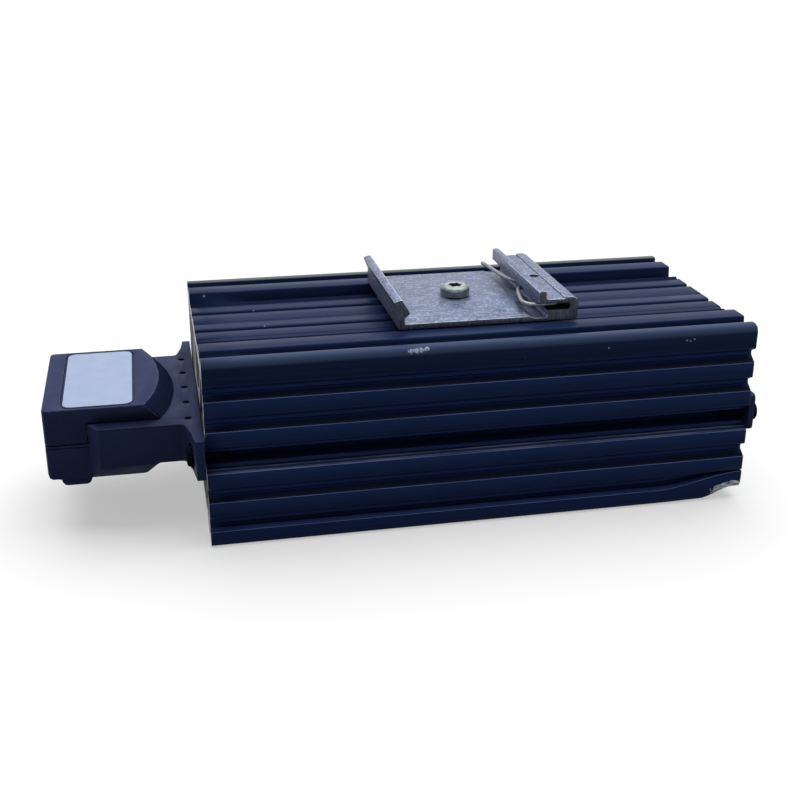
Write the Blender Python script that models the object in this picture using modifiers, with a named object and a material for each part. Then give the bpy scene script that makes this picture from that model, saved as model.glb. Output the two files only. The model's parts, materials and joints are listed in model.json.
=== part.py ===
"""Enclosure heater: a finned aluminium extrusion with a PTC heating element in its core duct, a moulded
terminal housing on one end, a cap on the other and a spring clip for a 35 mm rail on top.

It lies as it would on a bench, with the rail clip up. +X runs from the terminal housing to the end cap,
+Z is up, and the origin is at the bottom centre of the whole heater. Metres.
"""
import math

import bmesh
import bpy
from mathutils import Matrix, Vector

OBJECT_NAME = "enclosure_heater"

# Running clearance between two solids that meet.
GAP = 0.0003

# Extruded profile, with its section in the YZ plane.
PROFILE_LENGTH = 0.140
PROFILE_WIDTH = 0.070
PROFILE_HEIGHT = 0.0486
CORNER_RADIUS = 0.0018
EDGE_RADIUS = 0.0005
BOTTOM_RIDGE = 0.0044
SIDE_RIDGE = 0.0040
SIDE_GROOVE = 0.0038
SIDE_GROOVE_DEPTH = 0.0022
SIDE_GROOVE_SLOPE = 0.0016
SIDE_GROOVE_UNDERCUT = 0.0012
CENTRE_GROOVE = 0.0068
CENTRE_STEP_DEPTH = 0.0009
CENTRE_STEP_HEIGHT = 0.0008
SLOT_HEIGHT = 0.0032
SLOT_BACK = 0.0021

# Ridges of the top and the bottom face, from the corner to the middle.
CORNER_RIDGE = 0.0038
FACE_GROOVE = 0.0042
FACE_RIDGE = 0.0062
FACE_RIDGE_INSET = 0.0046
INNER_RIDGE = 0.0082
INNER_DROP = 0.0016
NARROW_GROOVE = 0.0018
NARROW_GROOVE_DEPTH = 0.0014
SCORE_INSET = 0.0018
SCORE_WIDTH = 0.0022
SCORE_DEPTH = 0.0006
DRILL_LINE = -0.0017
DRILL_LINE_WIDTH = 0.0005
DRILL_LINE_DEPTH = 0.0003

# Core duct, webs and air channels of the profile.
DUCT_WIDTH = 0.0210
DUCT_HEIGHT = 0.0068
CORE_WALL = 0.0032
CORE_SIDE_WALL = 0.0030
CROWN_WEB = 0.0056
SIDE_WEB = 0.0080
DIAGONAL_WEB = 0.0018
CROWN_WALL = 0.0018
SIDE_WALL = 0.0018
CHANNEL_RADIUS = 0.0008
CHANNEL_DRAFT = 0.0004
EARTH_PORT_OFFSET = 0.0175
EARTH_PORT_BORE = 0.0026

# Corner of the profile that was crushed in a fall: the far end of the lowest ridge on the near side.
CRUSH_LIFT = 0.0036
CRUSH_LENGTH = 0.0240
CRUSH_LOW_LIFT = 0.0029
CRUSH_LOW_START = 0.0110
CRUSH_LOW_LENGTH = 0.0090
CRUSH_WIDTH = 0.0140
CRUSH_HEIGHT = 0.0085
CRUSH_STATIONS = 12

# Heating element in the duct.
SLEEVE_WALL = 0.0005
SLEEVE_END = 0.0030
ELECTRODE_THICKNESS = 0.0008
ELECTRODE_WIDTH = 0.0150
ELECTRODE_MARGIN = 0.0110
ELECTRODE_TAIL = 0.0060
TAIL_WIDTH = 0.0040
CHIP_COUNT = 4
CHIP_WIDTH = 0.0130
CHIP_SPACING = 0.0045
FRAME_MARGIN = 0.0020
FRAME_RIM = 0.0016

# Terminal housing: a narrow left part, a wider block, and a flange across the end of the profile.
HOUSING_LENGTH = 0.0381
HOUSING_WIDTH = 0.0418
HOUSING_BOTTOM = 0.0156
HOUSING_TOP = 0.0338
HOUSING_WALL = 0.0018
HOUSING_RADIUS = 0.0012
SHOULDER_TOP = 0.0296
PARTING_HEIGHT = 0.0245
PARTING_GROOVE = 0.0004
PARTING_DROP = 0.0005
BLOCK_WIDTH = 0.0502
BLOCK_START = 0.0276
BLOCK_CHAMFER = 0.0024
BLOCK_LOWER_CHAMFER = 0.0039
NECK_START = 0.0143
NECK_RISE = 0.0042
NECK_SLANT = 0.0031
FLANGE_OVERHANG = 0.0018
FLANGE_BOTTOM = 0.0195
FLANGE_THICKNESS = 0.0021
FLARE_LENGTH = 0.0022
TAB_START = 0.0352
TAB_LENGTH = 0.0078
TAB_HEIGHT = 0.0022
TAB_WIDTH = 0.0400
PLATEAU_APEX = 0.0060
PLATEAU_ARC_RADIUS = 0.0550
PLATEAU_SLOPE = 0.0037
VENT_COUNT = 5
VENT_PITCH = 0.0107
VENT_DIAMETER = 0.0019
VENT_OFFSET = 0.0033
VENT_DEPTH = 0.0030
LABEL_LENGTH = 0.0167
LABEL_WIDTH = 0.0386
LABEL_RADIUS = 0.0020
LABEL_THICKNESS = 0.0002
LABEL_START = 0.0332
LABEL_MARGIN = 0.0006
WINDOW_WIDTH = 0.0460
WINDOW_RIM = 0.0012

# Terminals inside the housing.
POLE_COUNT = 4
POLE_PITCH = 0.0086
BLOCK_POCKET_WIDTH = 0.0062
BLOCK_POCKET_LENGTH = 0.0090
TERMINAL_LENGTH = 0.0136
TERMINAL_FLOOR = 0.0016
TERMINAL_HEIGHT = 0.0120
WIRE_BORE = 0.0034
WIRE_BORE_HEIGHT = 0.0205
RELEASE_WIDTH = 0.0030
RELEASE_HEIGHT = 0.0020
RELEASE_CENTRE = 0.0280
CLAMP_THICKNESS = 0.0006
CLAMP_WIDTH = 0.0048
CLAMP_HEIGHT = 0.0082
LEAD_DIAMETER = 0.0016
LEAD_LEVEL = 0.0234

# End cap, and the screws that hold the housing and the cap in the profile's side slots.
CAP_THICKNESS = 0.0015
CAP_INSET = 0.0002
CAP_PLUG_LENGTH = 0.0025
END_SCREW_INSET = 0.0045
END_SCREW_SHANK = 0.0026
END_SCREW_LENGTH = 0.0075
END_SCREW_HEAD = 0.0052
END_SCREW_HEAD_HEIGHT = 0.0018

# Rail clip, an extrusion with a fixed hook and a slotted jaw that holds the wire spring.
CLIP_WIDTH = 0.0432
CLIP_LENGTH = 0.0467
CLIP_START = 0.0497
CLIP_PLATE = 0.0014
HOOK_HEIGHT = 0.0078
HOOK_LEAN = 0.0013
HOOK_NOSE = 0.0027
HOOK_NECK = 0.0015
HOOK_NOSE_BOTTOM = 0.0036
JAW_HEIGHT = 0.0056
JAW_LENGTH = 0.0080
JAW_SLOT_BOTTOM = 0.0028
JAW_SLOT = 0.0016
JAW_SLOT_WALL = 0.0022
LIP_REACH = 0.0025
LIP_THICKNESS = 0.0020
LIP_HEIGHT = 0.0078
BEAD_WIDTH = 0.0035
BEAD_RISE = 0.0004
JAW_HOLE = 0.0026
JAW_HOLE_OFFSET = 0.0050
CLIP_SCREW_SHANK = 0.0036
CLIP_SCREW_LENGTH = 0.0080
CLIP_SCREW_HEAD = 0.0078
CLIP_SCREW_HEAD_HEIGHT = 0.0027
CLIP_SCREW_SHIFT = 0.0009
SCREW_RECESS = 0.0040
SCREW_RECESS_DEPTH = 0.0016
SPRING_WIRE = 0.0011
SPRING_REACH = 0.0022
SPRING_TUCK = 0.0040
SPRING_INNER = 0.0026
SPRING_NEAR = 0.0188
SPRING_FAR = 0.0222

# Places that follow from the sizes, with x = 0 at the profile's end by the housing.
HALF_WIDTH = PROFILE_WIDTH / 2
CORE_LEVEL = BOTTOM_RIDGE + 2 * (SIDE_GROOVE + SIDE_RIDGE) + CENTRE_GROOVE / 2
CORE_HALF_WIDTH = DUCT_WIDTH / 2 + CORE_SIDE_WALL
CORE_HALF_HEIGHT = DUCT_HEIGHT / 2 + CORE_WALL
INNER_LEVEL = INNER_DROP + NARROW_GROOVE_DEPTH
CENTRE_RIDGE_HALF = (HALF_WIDTH - CORNER_RIDGE - FACE_GROOVE - FACE_RIDGE - FACE_RIDGE_INSET
                     - INNER_RIDGE - NARROW_GROOVE)
ELECTRODE_LENGTH = PROFILE_LENGTH - 2 * ELECTRODE_MARGIN
CHIP_PITCH = (ELECTRODE_LENGTH - 2 * FRAME_MARGIN) / CHIP_COUNT
CHIP_LENGTH = CHIP_PITCH - CHIP_SPACING
FLANGE_WIDTH = PROFILE_WIDTH + 2 * FLANGE_OVERHANG
END_SCREW_OFFSET = HALF_WIDTH - END_SCREW_INSET
HOUSING_LEFT = -HOUSING_LENGTH
FLANGE_RIGHT = -GAP
FLANGE_LEFT = FLANGE_RIGHT - FLANGE_THICKNESS
CAP_LEFT = PROFILE_LENGTH + GAP
CAP_RIGHT = CAP_LEFT + CAP_THICKNESS
CLIP_BOTTOM = PROFILE_HEIGHT + GAP
CLIP_TOP = CLIP_BOTTOM + CLIP_PLATE
LIP_LEFT = CLIP_LENGTH - JAW_LENGTH - LIP_REACH
CLIP_MIDDLE = CLIP_START + (HOOK_NECK + LIP_LEFT) / 2 + CLIP_SCREW_SHIFT
CENTRE_X = (CAP_RIGHT + END_SCREW_HEAD_HEIGHT + GAP + HOUSING_LEFT) / 2


def remove_objects():
    """Empties the scene, so that the script can be run again."""
    for old in list(bpy.data.objects):
        bpy.data.objects.remove(old, do_unlink=True)


remove_objects()
PARTS = bpy.data.collections.new(OBJECT_NAME)
CUTTERS = bpy.data.collections.new("cutters")
bpy.context.scene.collection.children.link(PARTS)
bpy.context.scene.collection.children.link(CUTTERS)
FRAME = bpy.data.objects.new("heater_frame", None)
FRAME.location = (-CENTRE_X, 0, 0)
PARTS.objects.link(FRAME)


def material(name, colour, roughness, metallic):
    """A Principled BSDF with one colour, roughness and metallic value."""
    mat = bpy.data.materials.new(name)
    mat.use_nodes = True
    shader = mat.node_tree.nodes["Principled BSDF"]
    shader.inputs["Base Color"].default_value = (*colour, 1)
    shader.inputs["Roughness"].default_value = roughness
    shader.inputs["Metallic"].default_value = metallic
    mat.diffuse_color = (*colour, 1)
    return mat


ANODISED = material("anodised_aluminium", (0.020, 0.025, 0.060), 0.38, 0.6)
MILL_ALUMINIUM = material("mill_aluminium", (0.62, 0.63, 0.64), 0.34, 1.0)
ZINC_STEEL = material("zinc_steel", (0.55, 0.56, 0.55), 0.30, 1.0)
BLACK_STEEL = material("black_steel", (0.030, 0.032, 0.038), 0.42, 1.0)
SPRING_STEEL = material("spring_steel", (0.48, 0.48, 0.47), 0.28, 1.0)
BLACK_PLASTIC = material("black_plastic", (0.024, 0.026, 0.034), 0.50, 0.0)
GREY_PLASTIC = material("grey_plastic", (0.30, 0.31, 0.32), 0.50, 0.0)
LABEL_WHITE = material("label_white", (0.80, 0.81, 0.83), 0.45, 0.0)
CERAMIC = material("ptc_ceramic", (0.10, 0.09, 0.085), 0.70, 0.0)
POLYIMIDE = material("polyimide_film", (0.45, 0.22, 0.05), 0.30, 0.0)
LEAD_BROWN = material("lead_brown", (0.16, 0.06, 0.03), 0.55, 0.0)
LEAD_BLUE = material("lead_blue", (0.03, 0.10, 0.35), 0.55, 0.0)
LEAD_GREEN = material("lead_green", (0.05, 0.25, 0.06), 0.55, 0.0)


def rounded(corners, steps=2):
    """A closed outline from (u, v, radius) corners, with an arc of that radius at each corner."""
    points = []
    for index, (u, v, radius) in enumerate(corners):
        corner = Vector((u, v))
        if radius <= 0:
            points.append(corner)
            continue
        before = Vector(corners[index - 1][:2]) - corner
        after = Vector(corners[(index + 1) % len(corners)][:2]) - corner
        half = before.angle(after) / 2
        reach = min(radius / math.tan(half), before.length * 0.45, after.length * 0.45)
        start = corner + before.normalized() * reach
        end = corner + after.normalized() * reach
        bisector = (before.normalized() + after.normalized()).normalized()
        centre = corner + bisector * (reach / math.cos(half))
        sweep = (start - centre).angle_signed(end - centre)
        for step in range(steps + 1):
            turn = Matrix.Rotation(-sweep * step / steps, 2)
            points.append(centre + turn @ (start - centre))
    return [tuple(point) for point in points]


def circle(u, v, diameter, count=16):
    """A closed outline round a centre."""
    turns = [2 * math.pi * step / count for step in range(count)]
    return [(u + diameter / 2 * math.cos(turn), v + diameter / 2 * math.sin(turn)) for turn in turns]


def rectangle(u0, u1, v0, v1, radius=0.0, steps=2):
    """A closed rectangular outline with rounded corners."""
    return rounded([(u0, v0, radius), (u1, v0, radius), (u1, v1, radius), (u0, v1, radius)], steps)


AXES = {
    "X": Matrix(((0, 0, 1), (1, 0, 0), (0, 1, 0))),
    "Y": Matrix(((1, 0, 0), (0, 0, -1), (0, 1, 0))),
    "Z": Matrix.Identity(3),
}


def finish(obj, mat, collection=None):
    """Gives an object its material, its collection and its place in the heater's frame."""
    obj.data.materials.clear()
    obj.data.materials.append(mat)
    for old in obj.users_collection:
        old.objects.unlink(obj)
    (collection or PARTS).objects.link(obj)
    obj.parent = FRAME
    return obj


def as_mesh(curve, name):
    """Turns a curve object into a closed mesh object at the same place."""
    bpy.context.view_layer.update()
    evaluated = curve.evaluated_get(bpy.context.evaluated_depsgraph_get())
    mesh = bpy.data.meshes.new_from_object(evaluated)
    mesh.name = name
    body = bmesh.new()
    body.from_mesh(mesh)
    bmesh.ops.remove_doubles(body, verts=body.verts, dist=0.000001)
    bmesh.ops.recalc_face_normals(body, faces=body.faces)
    body.to_mesh(mesh)
    body.free()
    place = curve.matrix_world.copy()
    bpy.data.objects.remove(curve, do_unlink=True)
    obj = bpy.data.objects.new(name, mesh)
    obj.matrix_world = place
    return obj


def extrude(name, loops, low, high, axis, mat):
    """Extrudes flat closed outlines along an axis, from low to high. Inner outlines are holes."""
    curve = bpy.data.curves.new(name, "CURVE")
    curve.dimensions = "2D"
    curve.fill_mode = "BOTH"
    curve.extrude = (high - low) / 2
    for loop in loops:
        spline = curve.splines.new("POLY")
        spline.points.add(len(loop) - 1)
        for point, (u, v) in zip(spline.points, loop):
            point.co = (u, v, 0, 1)
        spline.use_cyclic_u = True
    obj = bpy.data.objects.new(name, curve)
    place = AXES[axis].to_4x4()
    place.translation = AXES[axis] @ Vector((0, 0, (low + high) / 2 * (-1 if axis == "Y" else 1)))
    obj.matrix_world = place
    bpy.context.scene.collection.objects.link(obj)
    return finish(as_mesh(obj, name), mat)


def box(name, x, y, z, mat):
    """A box between two values on each axis."""
    body = bmesh.new()
    bmesh.ops.create_cube(body, size=1)
    size = Vector((x[1] - x[0], y[1] - y[0], z[1] - z[0]))
    centre = Vector((x[1] + x[0], y[1] + y[0], z[1] + z[0])) / 2
    bmesh.ops.scale(body, verts=body.verts, vec=size)
    mesh = bpy.data.meshes.new(name)
    body.to_mesh(mesh)
    body.free()
    obj = bpy.data.objects.new(name, mesh)
    obj.location = centre
    return finish(obj, mat)


def rod(name, diameter, low, high, centre, axis, mat, count=16):
    """A cylinder from low to high along an axis, through a centre on the other two."""
    body = bmesh.new()
    bmesh.ops.create_cone(body, cap_ends=True, segments=count, radius1=diameter / 2,
                          radius2=diameter / 2, depth=high - low)
    mesh = bpy.data.meshes.new(name)
    body.to_mesh(mesh)
    body.free()
    obj = bpy.data.objects.new(name, mesh)
    turn = {"X": (0, math.pi / 2, 0), "Y": (math.pi / 2, 0, 0), "Z": (0, 0, 0)}[axis]
    obj.rotation_euler = turn
    middle = (low + high) / 2
    first, second = centre
    obj.location = {"X": (middle, first, second), "Y": (first, middle, second),
                    "Z": (first, second, middle)}[axis]
    return finish(obj, mat)


def turned(name, profile, place, turn, mat, steps=20):
    """A turned piece from (radius, height) points, from its top down to its foot, about its own Z."""
    mesh = bpy.data.meshes.new(name)
    body = bmesh.new()
    verts = [body.verts.new((radius, 0, height)) for radius, height in profile]
    for first, second in zip(verts, verts[1:]):
        body.edges.new((first, second))
    body.to_mesh(mesh)
    body.free()
    obj = bpy.data.objects.new(name, mesh)
    obj.location = place
    obj.rotation_euler = turn
    screw = obj.modifiers.new("turn", "SCREW")
    screw.steps = steps
    screw.render_steps = steps
    screw.use_merge_vertices = True
    screw.merge_threshold = 0.00001
    return finish(obj, mat)


def tool(target, other, operation):
    """Joins, cuts or intersects a piece with another, which becomes a hidden cutter."""
    modifier = target.modifiers.new(other.name, "BOOLEAN")
    modifier.operation = operation
    modifier.solver = "EXACT"
    modifier.object = other
    PARTS.objects.unlink(other)
    CUTTERS.objects.link(other)
    other.hide_render = True
    other.display_type = "WIRE"


def cut(target, *others):
    for other in others:
        tool(target, other, "DIFFERENCE")


def fuse(target, *others):
    for other in others:
        tool(target, other, "UNION")


def keep_common(target, *others):
    for other in others:
        tool(target, other, "INTERSECT")


def score(y, width, depth):
    """A V-shaped line in the inner ridges, as (y, depth, radius)."""
    return [(y - width / 2, INNER_DROP, 0), (y, INNER_DROP + depth, 0), (y + width / 2, INNER_DROP, 0)]


def face_points(level, down):
    """Half of the ridged top or bottom face, from its middle to the corner, as (y, z, radius)."""
    inner_start = CENTRE_RIDGE_HALF + NARROW_GROOVE
    inner_end = inner_start + INNER_RIDGE
    face_start = inner_end + FACE_RIDGE_INSET
    face_end = face_start + FACE_RIDGE
    corner_start = HALF_WIDTH - CORNER_RIDGE
    steep = SIDE_GROOVE_DEPTH * 0.15
    steps = [
        (CENTRE_RIDGE_HALF, INNER_DROP, EDGE_RADIUS),
        (CENTRE_RIDGE_HALF + steep, INNER_LEVEL, 0),
        (inner_start - steep, INNER_LEVEL, 0),
        (inner_start, INNER_DROP, EDGE_RADIUS),
        *score(inner_end - SCORE_INSET, SCORE_WIDTH, SCORE_DEPTH),
        (inner_end, INNER_DROP, EDGE_RADIUS),
        (inner_end + steep, INNER_LEVEL, 0),
        (face_start - steep, INNER_LEVEL, 0),
        (face_start, 0, EDGE_RADIUS),
        (face_end, 0, EDGE_RADIUS),
        (face_end + steep, SIDE_GROOVE_DEPTH, 0),
        (corner_start - steep, SIDE_GROOVE_DEPTH, 0),
        (corner_start, 0, EDGE_RADIUS),
        (HALF_WIDTH, 0, CORNER_RADIUS),
    ]
    return [(y, level + down * depth, radius) for y, depth, radius in steps]


def side_groove(bottom, top):
    """A plain side groove: a sloped lower side, a flat floor and a steeper upper side."""
    floor = HALF_WIDTH - SIDE_GROOVE_DEPTH
    return [
        (HALF_WIDTH, bottom, EDGE_RADIUS),
        (floor, bottom + SIDE_GROOVE_SLOPE, EDGE_RADIUS),
        (floor, top - SIDE_GROOVE_UNDERCUT, EDGE_RADIUS),
        (HALF_WIDTH, top, EDGE_RADIUS),
    ]


def centre_groove(bottom, top):
    """The wide side groove, with a stepped lower lip and a deep slot that takes the end screws."""
    floor = HALF_WIDTH - SIDE_GROOVE_DEPTH
    back = END_SCREW_OFFSET - SLOT_BACK
    step = HALF_WIDTH - CENTRE_STEP_DEPTH
    slot_low = CORE_LEVEL - SLOT_HEIGHT / 2
    slot_high = CORE_LEVEL + SLOT_HEIGHT / 2
    return [
        (HALF_WIDTH, bottom, EDGE_RADIUS),
        (step, bottom, 0),
        (step, bottom + CENTRE_STEP_HEIGHT, 0),
        (floor, bottom + CENTRE_STEP_HEIGHT, 0),
        (floor, slot_low, 0),
        (back, slot_low, 0),
        (back, slot_high, 0),
        (floor, slot_high, 0),
        (floor, top - SIDE_GROOVE_UNDERCUT, 0),
        (HALF_WIDTH, top, EDGE_RADIUS),
    ]


def side_points():
    """The ridged side, from the lowest groove to the highest, as (y, z, radius)."""
    points = []
    level = BOTTOM_RIDGE
    widths = [SIDE_GROOVE, SIDE_GROOVE, CENTRE_GROOVE, SIDE_GROOVE, SIDE_GROOVE]
    for width in widths:
        form = centre_groove if width == CENTRE_GROOVE else side_groove
        points += form(level, level + width)
        level += width + SIDE_RIDGE
    return points


def profile_outline():
    """The outer outline of the profile's section in (y, z), with the drill line on its top."""
    half = face_points(0, 1) + side_points() + face_points(PROFILE_HEIGHT, -1)[::-1]
    drill_line = score(DRILL_LINE, DRILL_LINE_WIDTH, DRILL_LINE_DEPTH)
    line = [(y, PROFILE_HEIGHT - depth, 0) for y, depth, _ in drill_line[::-1]]
    mirrored = [(-y, z, radius) for y, z, radius in reversed(half)]
    return rounded(half + line + mirrored)


def air_channels():
    """Outlines of the eight air channels: two crown and two side channels above and below the core."""
    channels = []
    crown_reach = INNER_LEVEL + CROWN_WALL
    side_limit = HALF_WIDTH - SIDE_GROOVE_DEPTH - SIDE_WALL
    for up in (1, -1):
        ridge_face = PROFILE_HEIGHT if up > 0 else 0
        core_face = CORE_LEVEL + up * CORE_HALF_HEIGHT
        crown = ridge_face - up * crown_reach
        web_face = CORE_LEVEL + up * SIDE_WEB / 2
        start = Vector((CORE_HALF_WIDTH, core_face))
        end = Vector((side_limit - CORNER_RADIUS, crown + up * CROWN_WALL))
        along = (end - start).normalized()
        across = Vector((-along.y, along.x)) * DIAGONAL_WEB / 2 * up
        above = start + across
        below = start - across
        slope = along.y / along.x
        crown_low = above.x + (core_face - above.y) / slope
        crown_high = above.x + (crown - above.y) / slope
        side_crown = crown - up * CROWN_WALL * 0.7
        side_high = below.x + (side_crown + up * CHANNEL_DRAFT - below.y) / slope
        side_low = below.y + (CORE_HALF_WIDTH - below.x) * slope
        draft = up * CHANNEL_DRAFT
        crown_channel = [(CROWN_WEB / 2, core_face + draft), (crown_low, core_face),
                         (crown_high, crown), (CROWN_WEB / 2, crown + draft)]
        side_channel = [(CORE_HALF_WIDTH, web_face), (side_limit, web_face + draft),
                        (side_limit, side_crown), (side_high, side_crown + draft),
                        (CORE_HALF_WIDTH, side_low)]
        for outline in (crown_channel, side_channel):
            for side in (1, -1):
                channels.append(rounded([(side * y, z, CHANNEL_RADIUS) for y, z in outline]))
    return channels


def smooth(value):
    """Eases from 0 to 1."""
    value = min(max(value, 0), 1)
    return value * value * (3 - 2 * value)


def crush_lift(place):
    """How far the fall lifted a point of the straight profile."""
    inwards = smooth((CRUSH_WIDTH - HALF_WIDTH - place.y) / (CRUSH_WIDTH * 0.8))
    top = CRUSH_LIFT * smooth((place.x - PROFILE_LENGTH + CRUSH_LENGTH) / CRUSH_LENGTH)
    low = CRUSH_LOW_LIFT * smooth((place.x - PROFILE_LENGTH + CRUSH_LOW_START) / CRUSH_LOW_LENGTH)
    if place.z < BOTTOM_RIDGE:
        return inwards * (low + (top - low) * max(place.z, 0) / BOTTOM_RIDGE)
    return inwards * top * max(CRUSH_HEIGHT - place.z, 0) / (CRUSH_HEIGHT - BOTTOM_RIDGE)


def crush_corner(obj):
    """Bends the end of the lowest near ridge upwards, as the fall left it."""
    body = bmesh.new()
    body.from_mesh(obj.data)
    body.transform(obj.matrix_world)
    start = PROFILE_LENGTH - CRUSH_LENGTH
    for station in range(CRUSH_STATIONS):
        x = start + CRUSH_LENGTH * station / CRUSH_STATIONS
        struck = [face for face in body.faces
                  if all(vert.co.y < CRUSH_WIDTH - HALF_WIDTH and vert.co.z < CRUSH_HEIGHT
                         for vert in face.verts)]
        edges = {edge for face in struck for edge in face.edges}
        verts = {vert for face in struck for vert in face.verts}
        bmesh.ops.bisect_plane(body, geom=struck + list(edges) + list(verts), plane_co=(x, 0, 0),
                               plane_no=(1, 0, 0), dist=1e-7)
    for vert in body.verts:
        vert.co.z += crush_lift(vert.co)
    body.to_mesh(obj.data)
    body.free()
    obj.matrix_basis = Matrix.Identity(4)


def make_profile():
    """The extrusion: one piece with its core duct, earth ports, air channels and clip screw hole."""
    duct = rectangle(-DUCT_WIDTH / 2, DUCT_WIDTH / 2, CORE_LEVEL - DUCT_HEIGHT / 2,
                     CORE_LEVEL + DUCT_HEIGHT / 2, EDGE_RADIUS)
    ports = [circle(side * EARTH_PORT_OFFSET, CORE_LEVEL, EARTH_PORT_BORE, 12) for side in (-1, 1)]
    loops = [profile_outline(), duct] + ports + air_channels()
    profile = extrude("heatsink_profile", loops, 0, PROFILE_LENGTH, "X", ANODISED)
    bpy.context.view_layer.update()
    profile.parent = None
    profile.matrix_basis = AXES["X"].to_4x4() @ Matrix.Translation((0, 0, PROFILE_LENGTH / 2))
    bpy.context.view_layer.update()
    crush_corner(profile)
    profile.parent = FRAME
    bore = rod("clip_screw_bore", CLIP_SCREW_SHANK + 2 * GAP,
               CLIP_TOP - CLIP_SCREW_LENGTH - 2 * GAP, CLIP_TOP + GAP, (CLIP_MIDDLE, 0), "Z", ANODISED)
    cut(profile, bore)
    return profile


def make_element():
    """The heating element: chips in a frame between two electrodes, inside an insulating sleeve."""
    sleeve_y = DUCT_WIDTH / 2 - GAP
    sleeve_z = DUCT_HEIGHT / 2 - GAP
    inner_y = sleeve_y - SLEEVE_WALL
    inner_z = sleeve_z - SLEEVE_WALL
    outer = rectangle(-sleeve_y, sleeve_y, CORE_LEVEL - sleeve_z, CORE_LEVEL + sleeve_z, EDGE_RADIUS)
    inner = rectangle(-inner_y, inner_y, CORE_LEVEL - inner_z, CORE_LEVEL + inner_z, EDGE_RADIUS / 2)
    extrude("insulation_sleeve", [outer, inner], SLEEVE_END, PROFILE_LENGTH - SLEEVE_END, "X", POLYIMIDE)
    middle = PROFILE_LENGTH / 2
    electrode_z = inner_z - GAP
    half_chip = electrode_z - ELECTRODE_THICKNESS - GAP
    half_length = ELECTRODE_LENGTH / 2
    tail_end = middle - half_length - ELECTRODE_TAIL
    for side, name in ((1, "electrode_upper"), (-1, "electrode_lower")):
        low, high = sorted((CORE_LEVEL + side * electrode_z,
                            CORE_LEVEL + side * (electrode_z - ELECTRODE_THICKNESS)))
        tail_y = side * ELECTRODE_WIDTH / 4
        outline = [
            (middle - half_length, -ELECTRODE_WIDTH / 2, 0),
            (middle + half_length, -ELECTRODE_WIDTH / 2, 0),
            (middle + half_length, ELECTRODE_WIDTH / 2, 0),
            (middle - half_length, ELECTRODE_WIDTH / 2, 0),
            (middle - half_length, tail_y + TAIL_WIDTH / 2, 0),
            (tail_end, tail_y + TAIL_WIDTH / 2, 0),
            (tail_end, tail_y - TAIL_WIDTH / 2, 0),
            (middle - half_length, tail_y - TAIL_WIDTH / 2, 0),
        ]
        extrude(name, [rounded(outline)], low, high, "Z", MILL_ALUMINIUM)
    first = middle - CHIP_PITCH * (CHIP_COUNT - 1) / 2
    windows = []
    for index in range(CHIP_COUNT):
        x = first + index * CHIP_PITCH
        box(f"ptc_chip_{index + 1}", (x - CHIP_LENGTH / 2, x + CHIP_LENGTH / 2),
            (-CHIP_WIDTH / 2, CHIP_WIDTH / 2), (CORE_LEVEL - half_chip, CORE_LEVEL + half_chip), CERAMIC)
        windows.append(rectangle(x - CHIP_LENGTH / 2 - GAP, x + CHIP_LENGTH / 2 + GAP,
                                 -CHIP_WIDTH / 2 - GAP, CHIP_WIDTH / 2 + GAP))
    span = CHIP_PITCH * (CHIP_COUNT - 1) / 2 + CHIP_LENGTH / 2 + GAP + FRAME_RIM
    rim = rectangle(middle - span, middle + span, -CHIP_WIDTH / 2 - GAP - FRAME_RIM,
                    CHIP_WIDTH / 2 + GAP + FRAME_RIM, FRAME_RIM / 2)
    extrude("chip_frame", [rim] + windows, CORE_LEVEL - half_chip, CORE_LEVEL + half_chip, "Z",
            GREY_PLASTIC)


def housing_plan():
    """The housing seen from above: a narrow left part, the block, and the flare to the flange."""
    half = HOUSING_WIDTH / 2
    wide = BLOCK_WIDTH / 2
    flange = FLANGE_WIDTH / 2
    upper = [
        (HOUSING_LEFT, half, HOUSING_RADIUS),
        (-BLOCK_START, half, 0),
        (-BLOCK_START + BLOCK_CHAMFER, wide, HOUSING_RADIUS),
        (FLANGE_LEFT - FLARE_LENGTH, wide, HOUSING_RADIUS),
        (FLANGE_LEFT - FLARE_LENGTH / 3, (wide + flange) / 2, 0),
        (FLANGE_LEFT, flange, 0),
        (FLANGE_RIGHT, flange, 0),
    ]
    return rounded(upper[::-1] + [(x, -y, radius) for x, y, radius in upper])


def base_side():
    """The housing base seen from the near side."""
    neck_bottom = HOUSING_BOTTOM + NECK_RISE
    tab_end = TAB_START - TAB_LENGTH
    return rounded([
        (HOUSING_LEFT, PARTING_HEIGHT - GAP / 2, 0),
        (HOUSING_LEFT, HOUSING_BOTTOM, HOUSING_RADIUS),
        (-TAB_START, HOUSING_BOTTOM, EDGE_RADIUS),
        (-TAB_START + TAB_HEIGHT / 3, HOUSING_BOTTOM - TAB_HEIGHT, HOUSING_RADIUS),
        (-tab_end - TAB_HEIGHT / 3, HOUSING_BOTTOM - TAB_HEIGHT, HOUSING_RADIUS),
        (-tab_end, HOUSING_BOTTOM, EDGE_RADIUS),
        (-NECK_START, HOUSING_BOTTOM, HOUSING_RADIUS),
        (-NECK_START + NECK_SLANT, neck_bottom, HOUSING_RADIUS),
        (FLANGE_LEFT - FLARE_LENGTH, neck_bottom, 0),
        (FLANGE_LEFT, FLANGE_BOTTOM, 0),
        (FLANGE_RIGHT, FLANGE_BOTTOM, 0),
        (FLANGE_RIGHT, SHOULDER_TOP, 0),
        (-BLOCK_START, SHOULDER_TOP, 0),
        (-BLOCK_START, PARTING_HEIGHT - GAP / 2, 0),
    ])


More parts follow.
